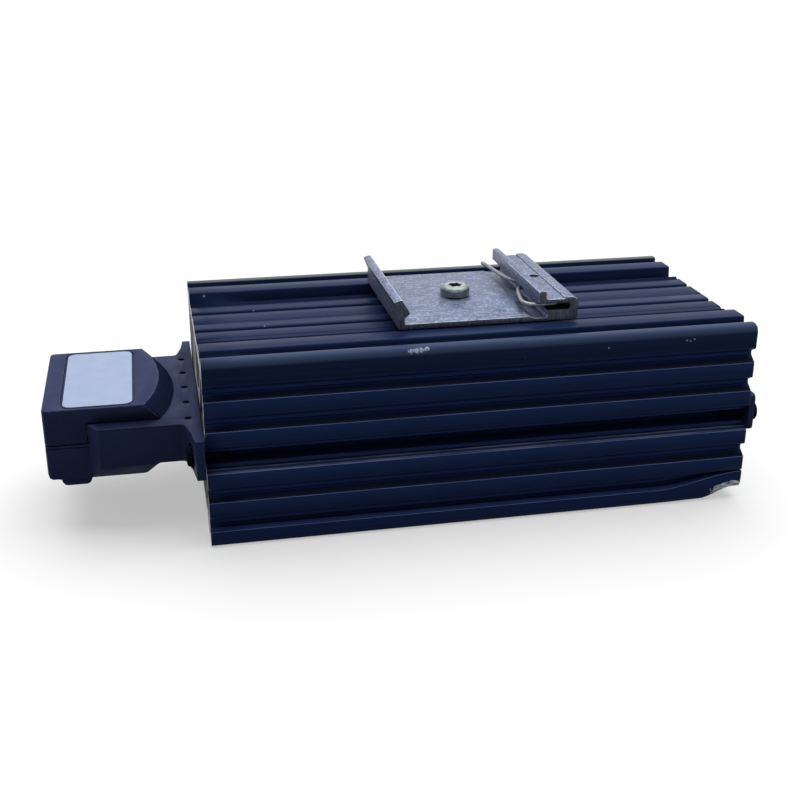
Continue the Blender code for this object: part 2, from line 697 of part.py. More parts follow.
def base_end():
    """The housing base seen from its end, with the long chamfers below the block."""
    wide = BLOCK_WIDTH / 2
    outside = FLANGE_WIDTH / 2 + HOUSING_WALL
    chamfer_top = HOUSING_BOTTOM + BLOCK_LOWER_CHAMFER
    below = HOUSING_BOTTOM - TAB_HEIGHT - HOUSING_WALL
    inner = wide - BLOCK_LOWER_CHAMFER
    right = [(outside, SHOULDER_TOP + HOUSING_WALL), (outside, chamfer_top - HOUSING_WALL),
             (wide + HOUSING_WALL, chamfer_top - HOUSING_WALL), (wide, chamfer_top),
             (inner, HOUSING_BOTTOM), (TAB_WIDTH / 2, HOUSING_BOTTOM - EDGE_RADIUS),
             (TAB_WIDTH / 2, below)]
    return right + [(-y, z) for y, z in reversed(right)]


def pole_centres():
    """The y of each pole of the terminal block."""
    first = -POLE_PITCH * (POLE_COUNT - 1) / 2
    return [first + index * POLE_PITCH for index in range(POLE_COUNT)]


def make_base():
    """The lower half of the housing, with its terminal well, lead passage, vents and screw holes."""
    base = extrude("housing_base", [housing_plan()], HOUSING_BOTTOM - TAB_HEIGHT - HOUSING_WALL,
                   SHOULDER_TOP + HOUSING_WALL, "Z", BLACK_PLASTIC)
    side = extrude("base_side_form", [base_side()], -FLANGE_WIDTH, FLANGE_WIDTH, "Y", BLACK_PLASTIC)
    end = extrude("base_end_form", [base_end()], HOUSING_LEFT - HOUSING_WALL, HOUSING_WALL, "X",
                  BLACK_PLASTIC)
    keep_common(base, side, end)
    inner = HOUSING_WIDTH / 2 - HOUSING_WALL
    well = box("base_well", (HOUSING_LEFT + HOUSING_WALL, -NECK_START), (-inner, inner),
               (HOUSING_BOTTOM + HOUSING_WALL, SHOULDER_TOP + HOUSING_WALL), BLACK_PLASTIC)
    passage = box("lead_passage", (-NECK_START - HOUSING_WALL, HOUSING_WALL),
                  (-WINDOW_WIDTH / 2, WINDOW_WIDTH / 2),
                  (FLANGE_BOTTOM + WINDOW_RIM, SHOULDER_TOP - WINDOW_RIM), BLACK_PLASTIC)
    cut(base, well, passage)
    line_top = PARTING_HEIGHT - GAP / 2 - PARTING_DROP
    around = rectangle(HOUSING_LEFT - HOUSING_WALL, -BLOCK_START, -FLANGE_WIDTH / 2, FLANGE_WIDTH / 2)
    inside = rectangle(HOUSING_LEFT + PARTING_GROOVE, -BLOCK_START + HOUSING_WALL,
                       -HOUSING_WIDTH / 2 + PARTING_GROOVE, HOUSING_WIDTH / 2 - PARTING_GROOVE)
    ring = extrude("parting_line", [around], line_top - GAP, line_top, "Z", BLACK_PLASTIC)
    cut(ring, extrude("parting_core", [inside], line_top - 2 * GAP, line_top + GAP, "Z", BLACK_PLASTIC))
    cut(base, ring)
    for index, y in enumerate(pole_centres()):
        cut(base, rod(f"wire_entry_{index + 1}", WIRE_BORE, HOUSING_LEFT - HOUSING_WALL,
                      HOUSING_LEFT + 2 * HOUSING_WALL, (y, WIRE_BORE_HEIGHT), "X", BLACK_PLASTIC))
    for index in range(VENT_COUNT):
        y = (index - (VENT_COUNT - 1) / 2) * VENT_PITCH
        cut(base, rod(f"vent_{index + 1}", VENT_DIAMETER, SHOULDER_TOP - VENT_DEPTH,
                      SHOULDER_TOP + VENT_DEPTH, (-VENT_OFFSET, y), "Z", BLACK_PLASTIC, 12))
    for index, y in enumerate((-END_SCREW_OFFSET, END_SCREW_OFFSET)):
        cut(base, rod(f"flange_bore_{index + 1}", END_SCREW_SHANK + 2 * GAP, FLANGE_LEFT - HOUSING_WALL,
                      HOUSING_WALL, (y, CORE_LEVEL), "X", BLACK_PLASTIC))
        seat = rod(f"flange_seat_{index + 1}", END_SCREW_HEAD + 4 * GAP, FLANGE_LEFT - 4 * HOUSING_WALL,
                   FLANGE_LEFT, (y, CORE_LEVEL), "X", BLACK_PLASTIC)
        cut(base, seat)
    return base


def cover_plan():
    """The cover seen from above, with its bowed right edge at the height of the shoulder."""
    half = HOUSING_WIDTH / 2
    steps = 12
    reach = math.asin(half / PLATEAU_ARC_RADIUS)
    centre = -PLATEAU_APEX - PLATEAU_ARC_RADIUS
    bow = []
    for step in range(steps + 1):
        turn = -reach + 2 * reach * step / steps
        bow.append((centre + PLATEAU_ARC_RADIUS * math.cos(turn), PLATEAU_ARC_RADIUS * math.sin(turn)))
    left = rounded([(-PLATEAU_APEX, half, 0), (HOUSING_LEFT, half, HOUSING_RADIUS),
                    (HOUSING_LEFT, -half, HOUSING_RADIUS), (-PLATEAU_APEX, -half, 0)])[1:-1]
    return bow + left


def make_cover():
    """The upper half of the housing, with the label recess and the slope of its bowed edge."""
    foot = SHOULDER_TOP + GAP
    cover = extrude("housing_cover", [cover_plan()], foot, HOUSING_TOP, "Z", BLACK_PLASTIC)
    for vert in cover.data.vertices:
        if vert.co.z > 0 and vert.co.x > -BLOCK_START:
            vert.co.x -= PLATEAU_SLOPE
    half = HOUSING_WIDTH / 2
    skirt_right = -BLOCK_START - GAP
    skirt = extrude("cover_skirt", [rounded([
        (HOUSING_LEFT, -half, HOUSING_RADIUS), (skirt_right, -half, 0), (skirt_right, half, 0),
        (HOUSING_LEFT, half, HOUSING_RADIUS)])], PARTING_HEIGHT + GAP / 2,
        HOUSING_TOP - HOUSING_WALL / 2, "Z", BLACK_PLASTIC)
    fuse(cover, skirt)
    inner = half - HOUSING_WALL
    cut(cover, box("cover_well", (HOUSING_LEFT + HOUSING_WALL, -NECK_START), (-inner, inner),
                   (PARTING_HEIGHT - HOUSING_WALL, HOUSING_TOP - HOUSING_WALL), BLACK_PLASTIC))
    slot_x = (HOUSING_LEFT - HOUSING_WALL, HOUSING_LEFT + 1.5 * HOUSING_WALL)
    slot_z = (RELEASE_CENTRE - RELEASE_HEIGHT / 2, RELEASE_CENTRE + RELEASE_HEIGHT / 2)
    for index, y in enumerate(pole_centres()):
        slot_y = (y - RELEASE_WIDTH / 2, y + RELEASE_WIDTH / 2)
        cut(cover, box(f"release_slot_{index + 1}", slot_x, slot_y, slot_z, BLACK_PLASTIC))
    reach = LABEL_MARGIN
    floor = HOUSING_TOP - LABEL_THICKNESS - GAP
    recess = rectangle(-LABEL_START - reach, -LABEL_START + LABEL_LENGTH + reach,
                       -LABEL_WIDTH / 2 - reach, LABEL_WIDTH / 2 + reach, LABEL_RADIUS + reach, 3)
    cut(cover, extrude("label_recess", [recess], floor, HOUSING_TOP + HOUSING_WALL, "Z", BLACK_PLASTIC))
    label = rectangle(-LABEL_START, -LABEL_START + LABEL_LENGTH, -LABEL_WIDTH / 2, LABEL_WIDTH / 2,
                      LABEL_RADIUS, 3)
    extrude("label", [label], floor + GAP, HOUSING_TOP, "Z", LABEL_WHITE)
    return cover


def make_terminals():
    """The terminal block in the well, with a spring clamp in each of its pockets."""
    left = HOUSING_LEFT + HOUSING_WALL + GAP
    right = left + TERMINAL_LENGTH
    floor = HOUSING_BOTTOM + HOUSING_WALL + GAP
    half = HOUSING_WIDTH / 2 - HOUSING_WALL - GAP
    block = box("terminal_block", (left, right), (-half, half), (floor, floor + TERMINAL_HEIGHT),
                GREY_PLASTIC)
    pocket_left = (left + right - BLOCK_POCKET_LENGTH) / 2
    pocket_right = pocket_left + BLOCK_POCKET_LENGTH
    pocket_floor = floor + TERMINAL_FLOOR
    for index, y in enumerate(pole_centres()):
        pocket = box(f"pocket_{index + 1}", (pocket_left, pocket_right),
                     (y - BLOCK_POCKET_WIDTH / 2, y + BLOCK_POCKET_WIDTH / 2),
                     (pocket_floor, floor + TERMINAL_HEIGHT + HOUSING_WALL), GREY_PLASTIC)
        bore = rod(f"block_bore_{index + 1}", WIRE_BORE, left - HOUSING_WALL,
                   (pocket_left + pocket_right) / 2, (y, WIRE_BORE_HEIGHT), "X", GREY_PLASTIC)
        cut(block, pocket, bore)
        low = pocket_floor + GAP
        clamp_left = pocket_left + GAP
        clamp_right = pocket_right - GAP
        strip = CLAMP_THICKNESS
        outline = [
            (clamp_left, low, strip), (clamp_right, low, strip),
            (clamp_right, low + CLAMP_HEIGHT, 2 * strip), (clamp_left + 3 * strip, low + CLAMP_HEIGHT, strip),
            (clamp_left + 3 * strip, low + CLAMP_HEIGHT - strip, 0),
            (clamp_right - strip, low + CLAMP_HEIGHT - strip, strip),
            (clamp_right - strip, low + strip, 0), (clamp_left, low + strip, 0),
        ]
        extrude(f"terminal_clamp_{index + 1}", [rounded(outline)], y - CLAMP_WIDTH / 2,
                y + CLAMP_WIDTH / 2, "Y", SPRING_STEEL)
    for index, y in enumerate(pole_centres()[:3]):
        cut(block, rod(f"lead_bore_{index + 1}", LEAD_DIAMETER + 2 * GAP, pocket_right - HOUSING_WALL / 2,
                       right + HOUSING_WALL, (y, LEAD_LEVEL), "X", GREY_PLASTIC, 12))
    return pocket_right


def wire(name, points, diameter, mat, resolution=2):
    """A tube along a smooth curve through a few points, as a poly spline with closed ends."""
    samples = smooth_path(points)
    curve = bpy.data.curves.new(name, "CURVE")
    curve.dimensions = "3D"
    curve.bevel_depth = diameter / 2
    curve.bevel_resolution = resolution
    curve.use_fill_caps = True
    spline = curve.splines.new("POLY")
    spline.points.add(len(samples) - 1)
    for point, place in zip(spline.points, samples):
        point.co = (*place, 1)
    obj = bpy.data.objects.new(name, curve)
    bpy.context.scene.collection.objects.link(obj)
    return finish(as_mesh(obj, name), mat)


def smooth_path(points, per_span=4):
    """Points read from a Catmull-Rom curve through the given ones."""
    places = [Vector(point) for point in points]
    ends = [2 * places[0] - places[1]] + places + [2 * places[-1] - places[-2]]
    samples = []
    for index in range(1, len(ends) - 2):
        before, start, end, after = ends[index - 1:index + 3]
        for step in range(per_span):
            t = step / per_span
            samples.append(0.5 * (2 * start + (end - before) * t
                                  + (2 * before - 5 * start + 4 * end - after) * t ** 2
                                  + (3 * start - before - 3 * end + after) * t ** 3))
    return samples + [places[-1]]


def make_leads(pocket_right):
    """The leads from the clamps to the electrodes, and the earth lead to its screw in the profile."""
    poles = pole_centres()
    reach = LEAD_DIAMETER / 2 + GAP
    bend = HOUSING_LEFT + HOUSING_WALL + TERMINAL_LENGTH + 0.2 * NECK_START
    inner_z = DUCT_HEIGHT / 2 - 2 * GAP - SLEEVE_WALL - ELECTRODE_THICKNESS
    tail_end = PROFILE_LENGTH / 2 - ELECTRODE_LENGTH / 2 - ELECTRODE_TAIL
    for side, name, pole, mat in ((1, "lead_live", 2, LEAD_BROWN), (-1, "lead_neutral", 1, LEAD_BLUE)):
        end_y = side * ELECTRODE_WIDTH / 4
        end_z = CORE_LEVEL + side * (inner_z - reach)
        wire(name, [(pocket_right, poles[pole], LEAD_LEVEL), (bend, poles[pole], LEAD_LEVEL),
                    (-0.6 * NECK_START, end_y, CORE_LEVEL), (0, end_y, end_z),
                    (tail_end + 0.7 * ELECTRODE_TAIL, end_y, end_z)], LEAD_DIAMETER, mat)
    tab_z = CORE_LEVEL
    tab_y = -EARTH_PORT_OFFSET
    tab_left = -GAP - 2 * CLAMP_THICKNESS
    tab = rectangle(tab_y - EARTH_PORT_BORE, tab_y + EARTH_PORT_BORE, tab_z - EARTH_PORT_BORE,
                    tab_z + EARTH_PORT_BORE, CLAMP_THICKNESS)
    eye = circle(tab_y, tab_z, EARTH_PORT_BORE + 2 * GAP, 12)
    extrude("earth_tab", [tab, eye], tab_left, -GAP, "X", MILL_ALUMINIUM)
    head_left = tab_left - GAP - END_SCREW_HEAD_HEIGHT
    screw("earth_screw", EARTH_PORT_BORE - 2 * GAP, END_SCREW_LENGTH, END_SCREW_HEAD * 0.85,
          END_SCREW_HEAD_HEIGHT, (tab_left - GAP, tab_y, tab_z), "right")
    wire("lead_earth", [(pocket_right, poles[0], LEAD_LEVEL), (bend, poles[0], LEAD_LEVEL),
                        (head_left - LEAD_DIAMETER, tab_y + 1.6 * EARTH_PORT_BORE, tab_z),
                        (tab_left - GAP - LEAD_DIAMETER / 2, tab_y + 1.6 * EARTH_PORT_BORE, tab_z)],
         LEAD_DIAMETER, LEAD_GREEN)


def screw(name, shank, length, head, height, place, points_to, mat=ZINC_STEEL, steps=16):
    """A pan-head screw whose head seats at a place, with its shank pointing right, left or down."""
    turn = {"right": (0, -math.pi / 2, 0), "left": (0, math.pi / 2, 0), "down": (0, 0, 0)}[points_to]
    profile = [(0, height), (head * 0.36, height), (head * 0.44, height * 0.92),
               (head * 0.485, height * 0.74), (head / 2, height * 0.5), (head / 2, 0), (shank / 2, 0),
               (shank / 2, -length + shank / 3), (shank / 4, -length), (0, -length)]
    return turned(name, profile, place, turn, mat, steps)


def make_ends():
    """The end cap, with its plug in the duct, and the four screws in the side slots."""
    half = HALF_WIDTH - CAP_INSET
    bar = rectangle(-half, half, FLANGE_BOTTOM, SHOULDER_TOP, HOUSING_RADIUS)
    bores = [circle(side * END_SCREW_OFFSET, CORE_LEVEL, END_SCREW_SHANK + 2 * GAP, 12)
             for side in (-1, 1)]
    cap = extrude("end_cap", [bar] + bores, CAP_LEFT, CAP_RIGHT, "X", BLACK_PLASTIC)
    plug = box("cap_plug", (PROFILE_LENGTH - CAP_PLUG_LENGTH, CAP_LEFT + CAP_THICKNESS / 2),
               (-DUCT_WIDTH / 2 + GAP, DUCT_WIDTH / 2 - GAP),
               (CORE_LEVEL - DUCT_HEIGHT / 2 + GAP, CORE_LEVEL + DUCT_HEIGHT / 2 - GAP), BLACK_PLASTIC)
    fuse(cap, plug)
    for name, y in (("near", -END_SCREW_OFFSET), ("far", END_SCREW_OFFSET)):
        screw(f"housing_screw_{name}", END_SCREW_SHANK, END_SCREW_LENGTH, END_SCREW_HEAD,
              END_SCREW_HEAD_HEIGHT, (FLANGE_LEFT - GAP, y, CORE_LEVEL), "right", BLACK_STEEL)
        screw(f"cap_screw_{name}", END_SCREW_SHANK, END_SCREW_LENGTH, END_SCREW_HEAD,
              END_SCREW_HEAD_HEIGHT, (CAP_RIGHT + GAP, y, CORE_LEVEL), "left", BLACK_STEEL)


def clip_outline():
    """The rail clip seen from the near side, with x = 0 at the foot of the hook."""
    jaw_left = CLIP_LENGTH - JAW_LENGTH
    slot_top = JAW_SLOT_BOTTOM + JAW_SLOT
    slot_end = CLIP_LENGTH - JAW_SLOT_WALL
    bead_left = CLIP_LENGTH - BEAD_WIDTH
    fine = EDGE_RADIUS / 2
    return [
        (0, 0, 0),
        (CLIP_LENGTH, 0, fine),
        (CLIP_LENGTH, JAW_HEIGHT + BEAD_RISE, BEAD_WIDTH / 2),
        (bead_left, JAW_HEIGHT + BEAD_RISE, EDGE_RADIUS),
        (bead_left, JAW_HEIGHT, 0),
        (LIP_LEFT + LIP_THICKNESS, JAW_HEIGHT, EDGE_RADIUS),
        (LIP_LEFT + LIP_THICKNESS, LIP_HEIGHT, EDGE_RADIUS),
        (LIP_LEFT, LIP_HEIGHT, EDGE_RADIUS),
        (LIP_LEFT, slot_top + fine, fine),
        (jaw_left - fine, slot_top, 0),
        (slot_end, slot_top, JAW_SLOT * 0.4),
        (slot_end, JAW_SLOT_BOTTOM, JAW_SLOT * 0.4),
        (jaw_left, JAW_SLOT_BOTTOM, fine),
        (jaw_left, CLIP_PLATE, fine),
        (jaw_left - EDGE_RADIUS, CLIP_PLATE * 0.6, EDGE_RADIUS),
        (LIP_LEFT - 2 * EDGE_RADIUS, CLIP_PLATE * 0.6, EDGE_RADIUS),
        (LIP_LEFT - LIP_REACH, CLIP_PLATE, 0),
        (HOOK_NECK, CLIP_PLATE, fine),
        (HOOK_NECK, HOOK_NOSE_BOTTOM * 0.8, fine),
        (HOOK_NOSE, HOOK_NOSE_BOTTOM + fine, fine),
        (HOOK_NOSE, HOOK_NOSE_BOTTOM + 2 * EDGE_RADIUS, fine),
        (HOOK_NECK / 2, HOOK_HEIGHT, EDGE_RADIUS),
        (-HOOK_LEAN, HOOK_HEIGHT - EDGE_RADIUS, EDGE_RADIUS),
        (0, HOOK_HEIGHT * 0.56, EDGE_RADIUS),
    ]


def make_clip():
    """The rail clip with its screw and the wire spring in the jaw's slot."""
    outline = [(CLIP_START + x, CLIP_BOTTOM + z, radius) for x, z, radius in clip_outline()]
    clip = extrude("rail_clip", [rounded(outline)], -CLIP_WIDTH / 2, CLIP_WIDTH / 2, "Y", MILL_ALUMINIUM)
    hole_x = CLIP_START + CLIP_LENGTH - JAW_HOLE_OFFSET
    cut(clip,
        rod("clip_bore", CLIP_SCREW_SHANK + 2 * GAP, CLIP_BOTTOM - CLIP_PLATE, CLIP_TOP + CLIP_PLATE,
            (CLIP_MIDDLE, 0), "Z", MILL_ALUMINIUM),
        rod("jaw_hole", JAW_HOLE, CLIP_BOTTOM + JAW_SLOT_BOTTOM + JAW_SLOT / 2,
            CLIP_BOTTOM + LIP_HEIGHT, (hole_x, 0), "Z", MILL_ALUMINIUM))
    pin = screw("clip_screw", CLIP_SCREW_SHANK, CLIP_SCREW_LENGTH, CLIP_SCREW_HEAD,
                CLIP_SCREW_HEAD_HEIGHT, (CLIP_MIDDLE, 0, CLIP_TOP + GAP), "down", steps=24)
    top = CLIP_TOP + GAP + CLIP_SCREW_HEAD_HEIGHT
    lobes = []
    for step in range(24):
        turn = 2 * math.pi * step / 24
        radius = SCREW_RECESS / 2 * (0.86 + 0.14 * math.cos(6 * turn))
        lobes.append((CLIP_MIDDLE + radius * math.cos(turn), radius * math.sin(turn)))
    cut(pin, extrude("star_recess", [lobes], top - SCREW_RECESS_DEPTH, top + SCREW_RECESS_DEPTH, "Z",
                     ZINC_STEEL))
    level = CLIP_BOTTOM + JAW_SLOT_BOTTOM + JAW_SLOT / 2
    mouth = CLIP_START + LIP_LEFT
    out = mouth - SPRING_REACH
    tucked = mouth + SPRING_TUCK
    near = [(tucked + 0.5 * SPRING_TUCK, -SPRING_NEAR, level), (mouth, -SPRING_NEAR, level),
            (out, -0.9 * SPRING_NEAR, level), (out, -0.7 * SPRING_NEAR, level),
            (mouth, -1.6 * SPRING_INNER, level), (tucked, -SPRING_INNER, level)]
    far = [(tucked, SPRING_INNER, level), (mouth, 1.9 * SPRING_INNER, level),
           (out, 0.85 * SPRING_FAR, level), (out - 0.3 * SPRING_REACH, SPRING_FAR, level)]
    wire("clip_spring", near + far, SPRING_WIRE, SPRING_STEEL)


def shade():
    """Smooth shading with sharp edges kept, on every piece."""
    for obj in PARTS.objects:
        if obj.type == "MESH":
            obj.data.shade_smooth()
            obj.data.set_sharp_from_angle(angle=math.radians(32))


make_profile()
make_element()
make_base()
make_cover()
POCKET_RIGHT = make_terminals()
make_leads(POCKET_RIGHT)
make_ends()
make_clip()
shade()
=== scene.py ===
"""The finished look of the enclosure heater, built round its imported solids: an anodised extrusion with worn
edges and one crushed corner, a moulded terminal housing, an end cap and a mill-finished rail clip.

+X runs from the terminal housing to the end cap, and +Z is up, out of the face with the rail clip. Metres.
"""
import json
import math

import bmesh
import bpy
from mathutils import Matrix, Vector, noise


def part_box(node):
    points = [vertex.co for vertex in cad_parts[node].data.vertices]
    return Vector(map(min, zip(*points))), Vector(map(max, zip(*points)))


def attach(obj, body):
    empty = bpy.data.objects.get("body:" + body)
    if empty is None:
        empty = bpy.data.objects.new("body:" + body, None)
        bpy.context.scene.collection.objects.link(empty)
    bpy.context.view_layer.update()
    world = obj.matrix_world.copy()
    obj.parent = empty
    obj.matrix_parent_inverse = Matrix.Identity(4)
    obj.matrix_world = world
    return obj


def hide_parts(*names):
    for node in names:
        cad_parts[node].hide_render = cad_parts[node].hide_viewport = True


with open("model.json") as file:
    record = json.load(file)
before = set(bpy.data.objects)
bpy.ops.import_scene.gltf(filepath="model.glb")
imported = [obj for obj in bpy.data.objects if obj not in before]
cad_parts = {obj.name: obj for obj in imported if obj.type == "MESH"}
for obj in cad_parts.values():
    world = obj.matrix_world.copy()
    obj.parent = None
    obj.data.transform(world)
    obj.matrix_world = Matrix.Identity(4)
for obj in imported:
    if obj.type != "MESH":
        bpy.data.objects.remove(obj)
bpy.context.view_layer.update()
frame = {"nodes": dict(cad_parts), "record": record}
NODES = frame["nodes"]

# The camera, where it stood for the photograph.
CAMERA_PLACE = (-0.06186, -0.30091, 0.14544)
CAMERA_HEADING = 11.92
CAMERA_DIP = 21.99
CAMERA_ROLL = 0.18
CAMERA_LENS = 54.39
SENSOR_WIDTH = 36.0

# The studio: an overcast sky of one broad lamp and a dim room, over a white floor.
SKY_STRENGTH = 3.0
SKY_SPREAD = 75
SKY_TILT = (-15, 8)
ROOM_LIGHT = 0.19
FLOOR_RADIUS = 40.0
FLOOR_BOUNCE = 0.16
FLOOR_GLOW = 0.45

# Distances under this are one point when a copied mesh is merged.
MERGE = 0.000002

# The profile's ends, and the ridge that the fall bent upwards.
PROFILE_LEFT, PROFILE_RIGHT = (corner.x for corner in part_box("heatsink_profile"))
PROFILE_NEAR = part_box("heatsink_profile")[0].y
TOP_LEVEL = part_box("heatsink_profile")[1].z
PLAIN_STATIONS = 12
CRUSH_LIFT = 0.0036
CRUSH_LENGTH = 0.0240
CRUSH_LOW_LIFT = 0.0029
CRUSH_LOW_START = 0.0110
CRUSH_LOW_LENGTH = 0.0090
CRUSH_WIDTH = 0.0140
CRUSH_HEIGHT = 0.0085
CRUSH_RIDGE = 0.0044
CRUSH_STATIONS = 48
CRUSH_ROWS = 0.0004
CRUSH_COLUMNS = 0.0010
CRUSH_ROUGHNESS = 0.00016
SCRAPE_LENGTH = 0.0095
SCRAPE_HEIGHT = 0.0019
EDGE_TURN = 60
EDGE_WIDTH = 0.00012

# Chips in the anodising of the top and the near side, as a place and a radius.
CHIPS = [
    ((-0.0489, 0.0208, 0.0478), 0.00055),
    ((-0.0461, 0.0208, 0.0463), 0.00030),
    ((-0.0366, 0.0079, 0.0469), 0.00036),
    ((-0.0351, -0.0060, 0.0470), 0.00036),
    ((0.0472, -0.0350, 0.0454), 0.00036),
    ((-0.0030, -0.0349, 0.0481), 0.00120),
    ((-0.0017, -0.0348, 0.0482), 0.00130),
    ((-0.0004, -0.0347, 0.0483), 0.00130),
    ((0.0010, -0.0344, 0.0484), 0.00110),
    ((0.0679, -0.0350, 0.0459), 0.00040),
    ((0.0688, -0.0350, 0.0457), 0.00032),
    ((0.0699, -0.0350, 0.0461), 0.00036),
]

# Places on the profile, each as its lowest and highest y or z: duller, darker bands along the top (painted
# shade at the score of the near half, and a darker film on the far inner ridge), the dusty crest of the far
# ridge, a painted highlight on the near corner, and two painted highlight lines at the near screw slot.
DULL_AND_SHADE_BANDS = [(-0.0163, -0.0154), (-0.0134, -0.0130), (0.0125, 0.0164)]
DULL_AND_SHADE_LEVELS = (0.0455, 0.0480)
DUSTY_REACH, DUSTY_LEVELS = (0.0310, 0.0360), (0.0484, 0.0500)
CORNER_HIGHLIGHT_REACH, CORNER_HIGHLIGHT_LEVELS = (-0.0360, -0.0298), (0.0469, 0.0500)
SLOT_HIGHLIGHT_LINES = [(0.0199, 0.0201), (0.0207, 0.0209)]
SLOT_HIGHLIGHT_REACH = (-0.0360, -0.0335)

# The side grooves: their depth, the height under the top where they end, and the rounding of their lips.
GROOVE_DEPTH = 0.0022
GROOVE_MARGIN = 0.0002
TOP_RIDGE = 0.0060
LIP_WIDTH = 0.00045
LIP_INSET = 0.0007
RIDGE_INSET = 0.0008

# Painted light and shade, as how light faces are painted against a plain one at 1, or at their foot and their
# head: the ridges of the sides, the channels (painted a light grey near the left end, as painted light), and
# the faces of the side grooves that face up, out and down.
SIDE_SHADE = (1.30, 1.60)
CHANNEL_SHADE = 3.0
GROOVE_LOWER = (-0.9, 2.0)
GROOVE_FLOOR = 1.80
GROOVE_UPPER = 0.70
SLOPE_SHADE = 0.45
UNDER_SHADE = 0.75

# The ledge beside the housing's block, which lies in shade: y, then where it starts and ends in x and z.
LEDGE_REACH = (-0.0262, -0.0200)
LEDGE_START, LEDGE_END = (-0.0800, -0.0770), (-0.0660, -0.0560)
LEDGE_FOOT, LEDGE_HEAD = (0.0290, 0.0295), (0.0305, 0.0335)

# Screws: the clip's, with a six-lobed recess, and the four at the ends, with a round one.
CLIP_HEAD_HEIGHT = 0.0027
END_HEAD_HEIGHT = 0.0018
CLIP_SHANK = 0.0018
END_SHANK = 0.0013
RECESS_SHARE = 0.25
RECESS_DEPTH = 0.0016
LOBE_DEPTH = 0.13

# The clip: how far its smoothed wire is swelled to keep its thickness, and the slot in its jaw, as its reach
# from the clip's end, its level over the clip's foot and half its height.
SPRING_SWELL = 0.00004
SLOT_REACH = 0.0080
SLOT_LEVEL = 0.0036
SLOT_HALF = 0.0010


def smooth(value):
    """Eases from 0 to 1."""
    value = min(max(value, 0), 1)
    return value * value * (3 - 2 * value)


class Finish:
    """A material under construction: a Principled shader with its constants on its own sockets."""

    def __init__(self, name, colour, roughness, metallic=0.0, **constants):
        self.material = bpy.data.materials.new(name)
        self.material.use_nodes = True
        self.tree = self.material.node_tree
        self.shader = self.tree.nodes["Principled BSDF"]
        self.set("Base Color", (*colour, 1))
        self.set("Roughness", roughness)
        self.set("Metallic", metallic)
        for socket, value in constants.items():
            self.set(socket.replace("_", " "), value)
        self.place = self.add("ShaderNodeTexCoord").outputs["Object"]

    def set(self, socket, value):
        self.shader.inputs[socket].default_value = value

    def add(self, kind, **settings):
        """A node with its settings."""
        made = self.tree.nodes.new(kind)
        for key, value in settings.items():
            setattr(made, key, value)
        return made

    def join(self, source, target):
        self.tree.links.new(source, target)

    def stretched(self, scale, turn=(0, 0, 0)):
        """Object coordinates scaled by one number for each axis."""
        mapping = self.add("ShaderNodeMapping")
        mapping.inputs["Scale"].default_value = scale
        mapping.inputs["Rotation"].default_value = [math.radians(angle) for angle in turn]
        self.join(self.place, mapping.inputs["Vector"])
        return mapping.outputs["Vector"]

    def grain(self, scale, detail=3.0, rough=0.5, turn=(0, 0, 0)):
        """Noise with the given number of grains per metre along each axis, from 0 to 1."""
        made = self.add("ShaderNodeTexNoise")
        made.inputs["Scale"].default_value = 1.0
        made.inputs["Detail"].default_value = detail
        made.inputs["Roughness"].default_value = rough
        size = scale if isinstance(scale, tuple) else (scale, scale, scale)
        self.join(self.stretched(size, turn), made.inputs["Vector"])
        return made.outputs["Fac"]

    def span(self, source, low, high, to_low=0.0, to_high=1.0):
        """Maps a range of a value to another, with a smooth step between its ends."""
        made = self.add("ShaderNodeMapRange", interpolation_type="SMOOTHSTEP")
        made.inputs["From Min"].default_value = low
        made.inputs["From Max"].default_value = high
        made.inputs["To Min"].default_value = to_low
        made.inputs["To Max"].default_value = to_high
        self.join(source, made.inputs["Value"])
        return made.outputs["Result"]

    def maths(self, operation, first, second):
        """One sum of two values, each a number or a node's output."""
        made = self.add("ShaderNodeMath", operation=operation)
        for socket, value in zip(made.inputs, (first, second)):
            if isinstance(value, (int, float)):
                socket.default_value = value
            else:
                self.join(value, socket)
        return made.outputs["Value"]

    def spot(self, place, radius):
        """1 at a place in Object coordinates, fading to 0 at a radius."""
        made = self.add("ShaderNodeVectorMath", operation="DISTANCE")
        self.join(self.place, made.inputs[0])
        made.inputs[1].default_value = place
        return self.span(made.outputs["Value"], 0.4 * radius, radius, 1.0, 0.0)

    def between(self, letter, low, high, soft=0.0001):
        """1 where an Object coordinate lies between two values, with soft edges."""
        place = self.axis(letter)
        return self.maths("MULTIPLY", self.span(place, low - soft, low + soft),
                          self.span(place, high - soft, high + soft, 1.0, 0.0))

    def attribute(self, name):
        return self.add("ShaderNodeAttribute", attribute_name=name).outputs["Fac"]

    def axis(self, letter):
        """One of the Object coordinates, in metres."""
        split = self.add("ShaderNodeSeparateXYZ")
        self.join(self.place, split.inputs["Vector"])
        return split.outputs[letter]

    def blend(self, factor, first, second):
        """Mixes two colours, each a tuple or a node's output."""
        made = self.add("ShaderNodeMix", data_type="RGBA")
        self.join(factor, made.inputs["Factor"])
        for socket, value in ((made.inputs["A"], first), (made.inputs["B"], second)):
            for candidate in made.inputs:
                if candidate.name == socket.name and candidate.type == "RGBA":
                    socket = candidate
            if isinstance(value, tuple):
                socket.default_value = (*value, 1)
            else:
                self.join(value, socket)
        return [out for out in made.outputs if out.type == "RGBA"][0]

    def colour(self, source):
        self.join(source, self.shader.inputs["Base Color"])

    def roughness(self, source):
        self.join(source, self.shader.inputs["Roughness"])

    def metallic(self, source):
        self.join(source, self.shader.inputs["Metallic"])

    def specular(self, source):
        self.join(source, self.shader.inputs["Specular IOR Level"])

    def bumps(self, *layers):
        """Bumps from (height, depth in metres) layers, one on top of the other."""
        normal = None
        for height, depth in layers:
            made = self.add("ShaderNodeBump")
            made.inputs["Strength"].default_value = 1.0
            made.inputs["Distance"].default_value = depth
            self.join(height, made.inputs["Height"])
            if normal:
                self.join(normal, made.inputs["Normal"])
            normal = made.outputs["Normal"]
        self.join(normal, self.shader.inputs["Normal"])


